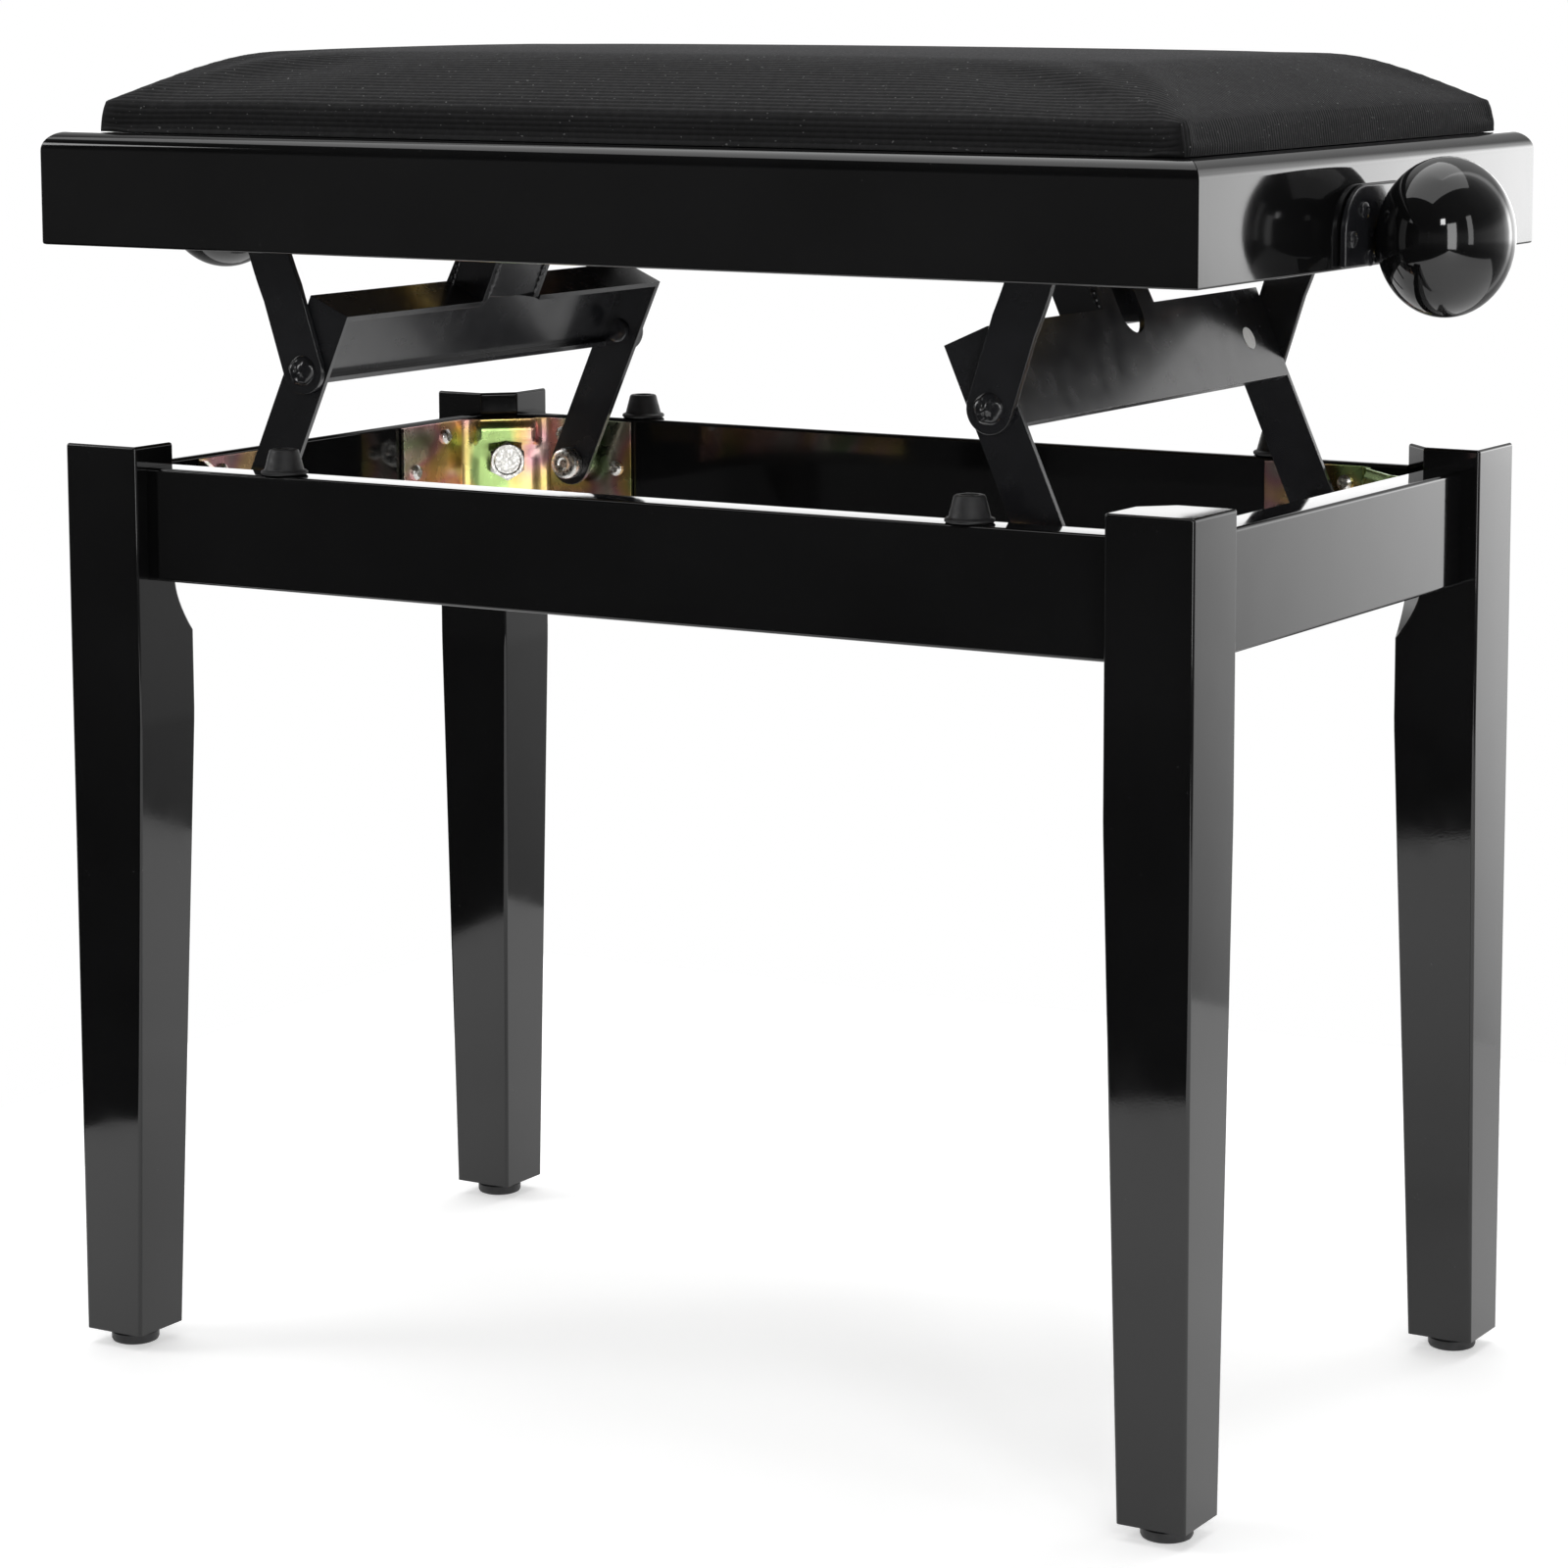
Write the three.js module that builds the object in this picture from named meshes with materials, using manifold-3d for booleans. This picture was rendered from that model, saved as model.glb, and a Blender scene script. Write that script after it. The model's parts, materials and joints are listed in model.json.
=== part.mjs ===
// Height-adjustable piano bench, in millimetres, +Z up.
// The origin is on the floor under the middle of the bench: X is its length, Y runs to the back.
import * as THREE from 'three';
import { mergeVertices } from 'three/addons/utils/BufferGeometryUtils.js';
import Module from 'manifold-3d';

const wasm = await Module();
wasm.setup();

// ---- driving dimensions ----
const gap = 0.3;                 // between pieces that touch
const roundSteps = 20;
const knobSteps = 32;

const baseLength = 542;          // over the legs' outer faces
const baseDepth = 314;
const legTop = 402;
const legSize = 38;
const footSize = 30;
const taperTop = 281;            // the legs' inner faces taper below this height
const legEdge = 1.5;
const glideHeight = 7;
const glideRadius = 10.5;

const railTop = 392.5;
const railHeight = 49;
const railThickness = 18;
const railSetback = 8;           // from the legs' outer faces
const chamferRunOut = 26;        // height of the curved end of the legs' inner chamfer

const bracketSheet = 1.8;
const bracketTop = railTop - 1.5;
const bracketBottom = railTop - 42;
const bracketCorner = 31;        // where the slanting middle meets the wings
const bracketReach = 79;
const legBoltHeight = 371;
const legBoltShank = 4.9;
const legBoltHead = 9.8;
const legBoltHeadHeight = 6.5;
const legBoltDepth = 22;         // into the leg, from its chamfer

const bumperHeight = 10.7;
const bumperFlange = 10;
const bumperX = 166;

const seatLength = 550;
const seatDepth = 328;
const seatBottom = 488;
const seatTop = 536;
const panelThickness = 18;
const panelRound = 8;
const boardThickness = 12;

const cushionInsetX = 16;
const cushionInsetY = 11;
const cushionShift = 4.5;        // the cushion sits a little to the right of the frame's middle
const cushionSide = 15;          // height of the upright side of the cushion
const cushionHeight = 36.5;
const cushionSlope = 48;         // width of the sloping border
const cushionShoulder = 32;      // height where the slope gives way to the crown

const pivotX = 195;              // the lower and upper pivots stand above each other here
const lowerPivotZ = 371;
const spindleZ = 500;            // also the height of the upper pivots
const midOffset = 28.5;          // how far inwards the middle pivots are
const pivotHole = 4.3;
const pivotShank = 4;

const flangeOuter = 122.5;       // outer face of a link's flanges, from the middle plane
const sheet = 2.5;
const linkHalfWidth = 10.5;
const webBottom = 60;            // along the link, from its lower pivot
const webTop = 101;
const lipDepth = 6;
const lugInner = 18;
const lugOuter = 22;
const tabHalfWidth = 23;
const tabTop = 113;
const slotHalfWidth = 9.5;
const slotBottom = 89;
const armThickness = 3;
const armHalfWidth = 10.2;
const armHeadRadius = 12;
const armNeckTop = -12;          // below the upper pivot, where the arm's outward bend starts
const armBend = -24;

const spindleRadius = 6.8;
const spindleStub = 5;
const trunnionRadius = 5;
const nutRadius = 11;
const knobRadius = 32;
const knobHalfThickness = 27;
const knobX = 304.2;
const bearingPlateThickness = 3;
const bearingPlateHalfWidth = 38.5;
const bearingPlateHeight = 32;
const bearingPlateRound = 20;

// ---- worked out from them ----
const halfLength = baseLength / 2;
const halfDepth = baseDepth / 2;
const railBottom = railTop - railHeight;
const railInnerX = halfLength - railSetback - railThickness;
const railInnerY = halfDepth - railSetback - railThickness;
const legChamfer = legSize - railSetback - railThickness + 0.5;
const legChamferAt = (2 * (legSize - railSetback - railThickness) - legChamfer) / Math.SQRT2; // from the rails' corner
const midRise = (spindleZ - lowerPivotZ) / 2;
const linkHalf = Math.hypot(midOffset, midRise);
const lean = Math.atan2(midOffset, midRise);
const linkLength = 2 * linkHalf;
const armInner = flangeOuter + gap;
const armOuter = armInner + armThickness;
const earInner = armOuter + gap;
const boardBottom = seatTop - boardThickness;
const panelInnerX = seatLength / 2 - panelThickness;
const panelInnerY = seatDepth / 2 - panelThickness;

// ---- materials ----
const finish = (color, roughness, metalness) => new THREE.MeshStandardMaterial({ color, roughness, metalness });
const lacquer = () => finish(0x0b0b0d, 0.12, 0);
const blackSteel = () => finish(0x17181b, 0.45, 0.5);
const zincPlate = () => finish(0xb59a4e, 0.35, 0.9);
const brightSteel = () => finish(0xb8b8b4, 0.3, 0.95);
const brass = () => finish(0xb08d45, 0.35, 0.9);
const rubber = () => finish(0x141414, 0.8, 0);
const corduroy = () => finish(0x2a2a2b, 0.95, 0);
const plywood = () => finish(0xb08a5c, 0.7, 0);

// ---- solids ----
function solid(geometry) {
  const bare = geometry.clone();
  bare.deleteAttribute('normal');
  bare.deleteAttribute('uv');
  const merged = mergeVertices(bare, 1e-4);
  const mesh = new wasm.Mesh({
    numProp: 3,
    vertProperties: new Float32Array(merged.attributes.position.array),
    triVerts: new Uint32Array(merged.index.array),
  });
  return new wasm.Manifold(mesh);
}

function shown(manifold) {
  const mesh = manifold.getMesh();
  const geometry = new THREE.BufferGeometry();
  geometry.setAttribute('position', new THREE.BufferAttribute(mesh.vertProperties, 3));
  geometry.setIndex(new THREE.BufferAttribute(mesh.triVerts, 1));
  const flat = geometry.toNonIndexed();
  flat.computeVertexNormals();
  return flat;
}

const joined = (...geometries) => geometries.map(solid).reduce((whole, piece) => whole.add(piece));

function cut(body, ...tools) {
  return tools.map(solid).reduce((rest, tool) => rest.subtract(tool), body);
}

// A plate's outline is drawn in the plane that it lies in, and its thickness runs along the named axis.
function plateZ(outline, low, high) {
  const geometry = new THREE.ExtrudeGeometry(outline, {
    depth: high - low, bevelEnabled: false, curveSegments: 6,
  });
  return geometry.translate(0, 0, low);
}

function plateY(outline, low, high) {
  return plateZ(outline, 0, high - low).rotateX(Math.PI / 2).translate(0, high, 0);
}

function plateX(outline, low, high) {
  return plateZ(outline, low, high).rotateX(Math.PI / 2).rotateZ(Math.PI / 2);
}

function polygon(points) {
  return new THREE.Shape(points.map(([x, y]) => new THREE.Vector2(x, y)));
}

function rectangle(x0, y0, x1, y1) {
  return polygon([[x0, y0], [x1, y0], [x1, y1], [x0, y1]]);
}

function roundedRectangle(x0, y0, x1, y1, radius) {
  const shape = new THREE.Shape();
  shape.absarc(x1 - radius, y0 + radius, radius, -Math.PI / 2, 0, false);
  shape.absarc(x1 - radius, y1 - radius, radius, 0, Math.PI / 2, false);
  shape.absarc(x0 + radius, y1 - radius, radius, Math.PI / 2, Math.PI, false);
  shape.absarc(x0 + radius, y0 + radius, radius, Math.PI, 1.5 * Math.PI, false);
  return shape;
}

// A rod or turned piece: profile points are [radius, place along the axis].
function turned(profile, axis, steps = roundSteps) {
  const points = profile.map(([radius, along]) => new THREE.Vector2(radius, along));
  const geometry = new THREE.LatheGeometry(points, steps);
  if (axis === 'X') geometry.rotateZ(-Math.PI / 2);
  if (axis === 'Z') geometry.rotateX(Math.PI / 2);
  return geometry;
}

function rod(radius, low, high, axis) {
  return turned([[0, low], [radius, low], [radius, high], [0, high]], axis);
}

function node(parent, name, geometry, material, position = [0, 0, 0]) {
  const mesh = new THREE.Mesh(geometry, material);
  mesh.name = name;
  mesh.position.set(...position);
  parent.add(mesh);
  return mesh;
}

const bench = new THREE.Group();
const corners = [
  { name: 'front_left', x: -1, y: -1, turn: 0 },
  { name: 'front_right', x: 1, y: -1, turn: Math.PI / 2 },
  { name: 'back_right', x: 1, y: 1, turn: Math.PI },
  { name: 'back_left', x: -1, y: 1, turn: -Math.PI / 2 },
];

// ---- base: legs ----
// The leg is drawn with its outer corner at the origin and its inner faces towards +X and +Y.
function legSolid() {
  let body = solid(plateZ(roundedRectangle(0, 0, legSize, legSize, legEdge), glideHeight, legTop));
  const wedge = polygon([
    [footSize, glideHeight - 1], [legSize + 1, glideHeight - 1], [legSize + 1, taperTop],
    [legSize, taperTop], [footSize, glideHeight],
  ]);
  body = cut(body, plateY(wedge, -1, legSize + 1), plateX(wedge, -1, legSize + 1));

  // the inner chamfer, drawn from the side: along = distance from the outer corner on the diagonal
  const chamferAt = (2 * legSize - legChamfer) / Math.SQRT2;
  const cornerAt = legSize * Math.SQRT2;
  const side = new THREE.Shape();
  side.moveTo(chamferAt, legTop + 1);
  side.lineTo(chamferAt, railBottom);
  side.quadraticCurveTo(chamferAt, railBottom - 0.6 * chamferRunOut, cornerAt + 0.5, railBottom - chamferRunOut);
  side.lineTo(cornerAt + 5, railBottom - chamferRunOut);
  side.lineTo(cornerAt + 5, legTop + 1);
  body = cut(body, plateY(side, -legSize, legSize).rotateZ(Math.PI / 4));

  const boltHole = rod(legBoltShank + gap, chamferAt - legBoltDepth - 1, cornerAt + 5, 'X').rotateZ(Math.PI / 4);
  return cut(body, boltHole.translate(0, 0, legBoltHeight));
}

const leg = shown(legSolid());
const glide = turned([
  [0, 0], [glideRadius - 1.5, 0], [glideRadius, 1.5], [glideRadius, glideHeight - gap], [0, glideHeight - gap],
], 'Z');

for (const corner of corners) {
  const at = [corner.x * halfLength, corner.y * halfDepth, 0];
  node(bench, `leg_${corner.name}`, leg, lacquer(), at).rotation.z = corner.turn;
  const footX = corner.x * (halfLength - footSize / 2);
  const footY = corner.y * (halfDepth - footSize / 2);
  node(bench, `glide_${corner.name}`, glide, rubber(), [footX, footY, 0]);
}

// ---- base: rails ----
const longRailHalf = halfLength - legSize - gap;
const shortRailHalf = halfDepth - legSize - gap;
const railMidX = railInnerX + railThickness / 2;
const railMidY = railInnerY + railThickness / 2;
const railSection = roundedRectangle(-railThickness / 2, railBottom, railThickness / 2, railTop, legEdge);

for (const [name, side] of [['left', -1], ['right', 1]]) {
  node(bench, `rail_${name}`, plateY(railSection, -shortRailHalf, shortRailHalf), lacquer(), [side * railMidX, 0, 0]);
}
for (const [name, side] of [['front', -1], ['back', 1]]) {
  node(bench, `rail_${name}`, plateX(railSection, -longRailHalf, longRailHalf), lacquer(), [0, side * railMidY, 0]);
}

// ---- base: corner brackets, their bolts, the lower pivots and the bumpers ----
// A bracket is drawn from the corner of the rails' inner faces, its long-rail wing along +X.
function bracketSolid() {
  const inner = gap + bracketSheet;
  const bend = bracketCorner + bracketSheet * Math.tan(Math.PI / 8);
  const plan = polygon([
    [bracketReach, gap], [bracketReach, inner], [bend, inner], [inner, bend],
    [inner, bracketReach], [gap, bracketReach], [gap, bracketCorner], [bracketCorner, gap],
  ]);
  const body = solid(plateZ(plan, bracketBottom, bracketTop));
  const boltHole = rod(legBoltShank + gap, 10, 40, 'X').rotateZ(Math.PI / 4).translate(0, 0, legBoltHeight);
  const pinHole = rod(pivotHole, -5, 5, 'Y').translate(railInnerX - pivotX, 0, lowerPivotZ);
  return cut(body, boltHole, pinHole);
}

function mirroredInY(body) {
  return body.mirror([0, 1, 0]);
}

const bracketPlate = bracketCorner / Math.SQRT2 + bracketSheet;   // face of the slanting middle, from the corner
const legBolt = joined(
  rod(legBoltShank, legChamferAt - legBoltDepth - bracketPlate, gap + 1, 'X'),
  new THREE.CylinderGeometry(legBoltHead, legBoltHead, legBoltHeadHeight, 6)
    .rotateZ(-Math.PI / 2).translate(legBoltHeadHeight / 2 + gap, 0, 0),
);
const legBoltShape = shown(legBolt);
const bumper = turned([
  [0, 0], [bumperFlange, 0], [bumperFlange, 1.4], [8.4, 1.6], [6, bumperHeight], [3.6, bumperHeight], [3, 4], [0, 4],
], 'Z');

// The pin's head is towards the middle of the bench, which is its -Y end here.
const wingBack = railInnerY - gap;
const lowerPin = turned([
  [0, flangeOuter - sheet - 6.5], [7.5, flangeOuter - sheet - 6.5], [7.5, flangeOuter - sheet - gap],
  [pivotShank, flangeOuter - sheet - gap], [pivotShank, flangeOuter + gap], [7, flangeOuter + gap],
  [7, wingBack - bracketSheet - gap], [pivotShank, wingBack - bracketSheet - gap], [pivotShank, wingBack], [0, wingBack],
], 'Y');

const bracket = bracketSolid();
for (const corner of corners) {
  const place = [corner.x * railInnerX, corner.y * railInnerY, 0];
  const inwards = Math.atan2(-corner.y, -corner.x);
  const diagonal = Math.round((inwards - Math.PI / 4) / (Math.PI / 2)) * (Math.PI / 2) + Math.PI / 4;
  const straight = corner.x * corner.y > 0;
  const shape = shown(straight ? bracket : mirroredInY(bracket));
  node(bench, `corner_bracket_${corner.name}`, shape, zincPlate(), place).rotation.z = corner.x > 0 ? Math.PI : 0;

  const boltAt = [
    place[0] + Math.cos(diagonal) * bracketPlate, place[1] + Math.sin(diagonal) * bracketPlate, legBoltHeight,
  ];
  node(bench, `leg_bolt_${corner.name}`, legBoltShape, brightSteel(), boltAt).rotation.z = diagonal;

  const pinAt = [corner.x * pivotX, 0, lowerPivotZ];
  node(bench, `lower_pivot_${corner.name}`, lowerPin, brightSteel(), pinAt).rotation.z = corner.y > 0 ? 0 : Math.PI;
  const bumperAt = [corner.x * bumperX, corner.y * railMidY, railTop + gap];
  node(bench, `bumper_${corner.name}`, bumper, rubber(), bumperAt);
}

// ---- linkage ----
// A link is drawn from its lower pivot, upright, with its inner side towards +X.
function linkSolid() {
  const bar = new THREE.Shape();
  bar.absarc(0, 0, linkHalfWidth, Math.PI, 2 * Math.PI, false);
  bar.lineTo(linkHalfWidth, webTop);
  bar.lineTo(-linkHalfWidth, webTop);

  const lug = new THREE.Shape();
  lug.moveTo(linkHalfWidth - 0.5, webTop - 1);
  lug.lineTo(linkHalfWidth - 0.5, linkLength);
  lug.absarc(0, linkLength, linkHalfWidth - 0.5, 0, Math.PI, false);
  lug.lineTo(0.5 - linkHalfWidth, webTop - 8);

  const web = polygon([
    [-flangeOuter, webBottom], [flangeOuter, webBottom], [flangeOuter, webTop], [tabHalfWidth, webTop],
    [tabHalfWidth - 1, tabTop], [1 - tabHalfWidth, tabTop], [-tabHalfWidth, webTop], [-flangeOuter, webTop],
  ]);
  const slot = new THREE.Shape();
  slot.absarc(0, slotBottom + slotHalfWidth, slotHalfWidth, Math.PI, 2 * Math.PI, false);
  slot.lineTo(slotHalfWidth, tabTop + 5);
  slot.lineTo(-slotHalfWidth, tabTop + 5);

  const flangeInner = flangeOuter - sheet;
  const lip = (from, to, low, reach) => plateZ(rectangle(-linkHalfWidth, from, reach, to), low, low + sheet);
  const body = joined(
    plateY(bar, -flangeOuter, -flangeInner),
    plateY(bar, flangeInner, flangeOuter),
    plateX(web, -linkHalfWidth, sheet - linkHalfWidth),
    lip(-flangeOuter, -tabHalfWidth, webTop - sheet, linkHalfWidth),
    lip(tabHalfWidth, flangeOuter, webTop - sheet, linkHalfWidth),
    lip(-flangeOuter, flangeOuter, webBottom, lipDepth - linkHalfWidth),
    plateY(lug, -lugOuter, -lugInner),
    plateY(lug, lugInner, lugOuter),
  );
  return cut(
    body,
    plateX(slot, -linkHalfWidth - 1, sheet - linkHalfWidth + 1),
    rod(pivotHole, -130, 130, 'Y'),
    rod(pivotHole, -130, 130, 'Y').translate(0, 0, linkHalf),
    rod(trunnionRadius + gap, -30, 30, 'Y').translate(0, 0, linkLength),
  );
}

// An arm is drawn for the left side from its upper pivot, hanging down to the middle pivot.
// It bows a little inwards between its wider head and its foot.
function armSolid() {
  const bow = 3.6;
  const neck = 5;
  const outline = new THREE.Shape();
  outline.absarc(0, 0, armHeadRadius, 0, Math.PI, false);
  outline.lineTo(neck - armHalfWidth, armNeckTop);
  outline.quadraticCurveTo(bow - armHalfWidth, armBend, bow - armHalfWidth, armBend + armNeckTop);
  outline.lineTo(-armHalfWidth, -linkHalf);
  outline.absarc(0, -linkHalf, armHalfWidth, Math.PI, 2 * Math.PI, false);
  outline.lineTo(bow + armHalfWidth, armBend + armNeckTop);
  outline.quadraticCurveTo(bow + armHalfWidth, armBend, neck + armHalfWidth, armNeckTop);
  return cut(
    solid(plateY(outline, armInner, armOuter)),
    rod(pivotHole, 100, 140, 'Y'),
    rod(pivotHole, 100, 140, 'Y').translate(0, 0, -linkHalf),
  );
}

function nutSolid() {
  const reach = lugOuter + 2;
  const barrel = turned([
    [0, -reach], [trunnionRadius, -reach], [trunnionRadius, gap - lugInner], [nutRadius, gap - lugInner],
    [nutRadius, lugInner - gap], [trunnionRadius, lugInner - gap], [trunnionRadius, reach], [0, reach],
  ], 'Y');
  return cut(solid(barrel), rod(spindleRadius + gap, -20, 20, 'X'));
}

const link = shown(linkSolid());
const arm = armSolid();
const armShape = shown(arm);
const armMirrored = shown(mirroredInY(arm));
const nut = shown(nutSolid());
const rivet = turned([
  [0, flangeOuter - sheet - 2.4], [5.2, flangeOuter - sheet - 2.4], [5.6, flangeOuter - sheet - gap],
  [pivotShank, flangeOuter - sheet - gap], [pivotShank, armOuter + gap], [6, armOuter + gap],
  [5.6, armOuter + 1.6], [4.4, armOuter + 2.6], [2.4, armOuter + 3.1], [0, armOuter + 3.2],
], 'Y');

// Each side is drawn as the left one; the right one is the same turned half round.
for (const side of ['left', 'right']) {
  const turn = new THREE.Group();
  turn.rotation.z = side === 'left' ? 0 : Math.PI;
  bench.add(turn);
  const nameOf = (end) => (side === 'left' ? end : { front: 'back', back: 'front' }[end]);

  node(turn, `${side}_link`, link, blackSteel(), [-pivotX, 0, lowerPivotZ]).rotation.y = lean;
  for (const [end, shape] of [['back', armShape], ['front', armMirrored]]) {
    node(turn, `${side}_arm_${nameOf(end)}`, shape, blackSteel(), [-pivotX, 0, spindleZ]).rotation.y = -lean;
    const rivetNode = node(
      turn, `${side}_rivet_${nameOf(end)}`, rivet, blackSteel(),
      [midOffset - pivotX, 0, lowerPivotZ + midRise],
    );
    rivetNode.rotation.z = end === 'back' ? 0 : Math.PI;
  }
  node(turn, `${side}_nut`, nut, brass(), [2 * midOffset - pivotX, 0, spindleZ]);
}

// ---- seat frame ----
// A panel's section is drawn with its outer face at 0 and the panel behind it.
function panelSection() {
  const section = new THREE.Shape();
  section.moveTo(1, seatBottom);
  section.lineTo(panelThickness, seatBottom);
  section.lineTo(panelThickness, seatTop);
  section.lineTo(panelRound, seatTop);
  section.absarc(panelRound, seatTop - panelRound, panelRound, Math.PI / 2, Math.PI, false);
  section.lineTo(0, seatBottom + 1);
  return section;
}

// Each panel is cut at 45 degrees at its ends, where it meets the next one.
function panelSolid(length, holeAt) {
  const half = length / 2 - 0.5 * gap * Math.SQRT2;
  const board = solid(plateX(panelSection(), -length / 2, length / 2));
  const plan = polygon([
    [-half, 0], [half, 0], [half - panelThickness - 1, panelThickness + 1],
    [panelThickness + 1 - half, panelThickness + 1],
  ]);
  const mitred = board.intersect(solid(plateZ(plan, seatBottom - 1, seatTop + 1)));
  return holeAt ? cut(mitred, rod(spindleRadius + 1.5, -1, panelThickness + 1, 'Y').translate(0, 0, holeAt)) : mitred;
}

const longPanel = shown(panelSolid(seatLength));
const shortPanel = shown(panelSolid(seatDepth, spindleZ));
node(bench, 'seat_panel_front', longPanel, lacquer(), [0, -seatDepth / 2, 0]);
node(bench, 'seat_panel_back', longPanel, lacquer(), [0, seatDepth / 2, 0]).rotation.z = Math.PI;
node(bench, 'seat_panel_right', shortPanel, lacquer(), [seatLength / 2, 0, 0]).rotation.z = Math.PI / 2;
node(bench, 'seat_panel_left', shortPanel, lacquer(), [-seatLength / 2, 0, 0]).rotation.z = -Math.PI / 2;

const boardOutline = rectangle(gap - panelInnerX, gap - panelInnerY, panelInnerX - gap, panelInnerY - gap);
node(bench, 'seat_board', plateZ(boardOutline, boardBottom, seatTop), plywood());

// The cushion's outline across X and across Y; the solid is what lies inside both.
function cushionOutline(half) {
  const top = new THREE.Shape();
  const z0 = seatTop + gap;
  top.moveTo(-half, z0);
  top.lineTo(half, z0);
  top.lineTo(half, z0 + cushionSide);
  top.quadraticCurveTo(half - 6, z0 + cushionSide + 6, half - cushionSlope, z0 + cushionShoulder);
  top.quadraticCurveTo(0, z0 + 2 * cushionHeight - cushionShoulder, cushionSlope - half, z0 + cushionShoulder);
  top.quadraticCurveTo(6 - half, z0 + cushionSide + 6, -half, z0 + cushionSide);
  return top;
}

const cushionHalfX = seatLength / 2 - cushionInsetX;
const cushionHalfY = seatDepth / 2 - cushionInsetY;
const cushion = solid(plateY(cushionOutline(cushionHalfX), -cushionHalfY, cushionHalfY))
  .intersect(solid(plateX(cushionOutline(cushionHalfY), -cushionHalfX, cushionHalfX)));
node(bench, 'cushion', shown(cushion), corduroy(), [cushionShift, 0, 0]);

// ---- seat: hangers and upper pivots ----
// A hanger is drawn for the back, its ear outside the arm and its foot under the seat board.
function hangerSolid() {
  const halfWidth = 13;
  const top = boardBottom - gap;
  const ear = new THREE.Shape();
  ear.moveTo(halfWidth, spindleZ);
  ear.lineTo(halfWidth, top);
  ear.lineTo(-halfWidth, top);
  ear.lineTo(-halfWidth, spindleZ);
  ear.absarc(0, spindleZ, halfWidth, Math.PI, 2 * Math.PI, false);
  const foot = rectangle(-halfWidth, earInner, halfWidth, panelInnerY - gap);
  const body = joined(plateY(ear, earInner, earInner + sheet), plateZ(foot, top - sheet, top));
  return cut(body, rod(pivotHole, 100, 140, 'Y').translate(0, 0, spindleZ));
}

const hanger = hangerSolid();
const upperPin = turned([
  [0, armInner - gap - 3], [7, armInner - gap - 3], [7, armInner - gap], [pivotShank, armInner - gap],
  [pivotShank, earInner + sheet + gap], [7, earInner + sheet + gap], [7, earInner + sheet + 4.5],
  [0, earInner + sheet + 4.5],
], 'Y');

for (const corner of corners) {
  const shape = shown(corner.y > 0 ? hanger : mirroredInY(hanger));
  node(bench, `hanger_${corner.name}`, shape, zincPlate(), [corner.x * pivotX, 0, 0]);
  const pin = node(bench, `upper_pivot_${corner.name}`, upperPin, brightSteel(), [corner.x * pivotX, 0, spindleZ]);
  pin.rotation.z = corner.y > 0 ? 0 : Math.PI;
}

// ---- spindle, its bearing plates and knobs ----
const plateOutline = new THREE.Shape();
plateOutline.moveTo(-bearingPlateHalfWidth, seatBottom + 1);
plateOutline.lineTo(bearingPlateHalfWidth, seatBottom + 1);
plateOutline.absarc(
  bearingPlateHalfWidth - bearingPlateRound, seatBottom + 1 + bearingPlateHeight - bearingPlateRound,
  bearingPlateRound, 0, Math.PI / 2, false,
);
plateOutline.absarc(
  bearingPlateRound - bearingPlateHalfWidth, seatBottom + 1 + bearingPlateHeight - bearingPlateRound,
  bearingPlateRound, Math.PI / 2, Math.PI, false,
);
const plateFace = seatLength / 2 + gap;
const bearingPlate = shown(cut(
  solid(plateX(plateOutline, plateFace, plateFace + bearingPlateThickness)),
  rod(spindleRadius + gap, 200, 300, 'X').translate(0, 0, spindleZ),
));

const knobFace = plateFace + bearingPlateThickness + 1;
const stubEnd = knobX - 6;
const spindleProfile = [
  [0, -stubEnd], [spindleStub, -stubEnd], [spindleStub, -knobFace], [spindleRadius, -knobFace],
  [spindleRadius, knobFace], [spindleStub, knobFace], [spindleStub, stubEnd], [0, stubEnd],
];

// The knob is an oblate ball with a flat round its blind bore.
function knobProfile() {
  const start = Math.asin((knobX - knobFace - gap) / knobHalfThickness);
  const points = [[0, stubEnd + gap], [spindleStub + gap, stubEnd + gap], [spindleStub + gap, knobFace + gap]];
  const steps = 14;
  for (let step = 0; step <= steps; step += 1) {
    const angle = -start + (step / steps) * (start + Math.PI / 2);
    const radius = step === steps ? 0 : knobRadius * Math.cos(angle);
    points.push([radius, knobX + knobHalfThickness * Math.sin(angle)]);
  }
  return points;
}

const knob = turned(knobProfile(), 'X', knobSteps);
node(bench, 'spindle', turned(spindleProfile, 'X'), brass(), [0, 0, spindleZ]);
for (const [name, turn] of [['right', 0], ['left', Math.PI]]) {
  node(bench, `bearing_plate_${name}`, bearingPlate, blackSteel()).rotation.z = turn;
  node(bench, `knob_${name}`, knob, lacquer(), [0, 0, spindleZ]).rotation.z = turn;
}

export default bench;
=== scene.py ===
"""Piano bench: the looks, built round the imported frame. Values below are millimetres, +Z up."""

import json
import math

import bmesh
import bpy
import numpy as np
from mathutils import Matrix, Vector, noise

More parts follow.
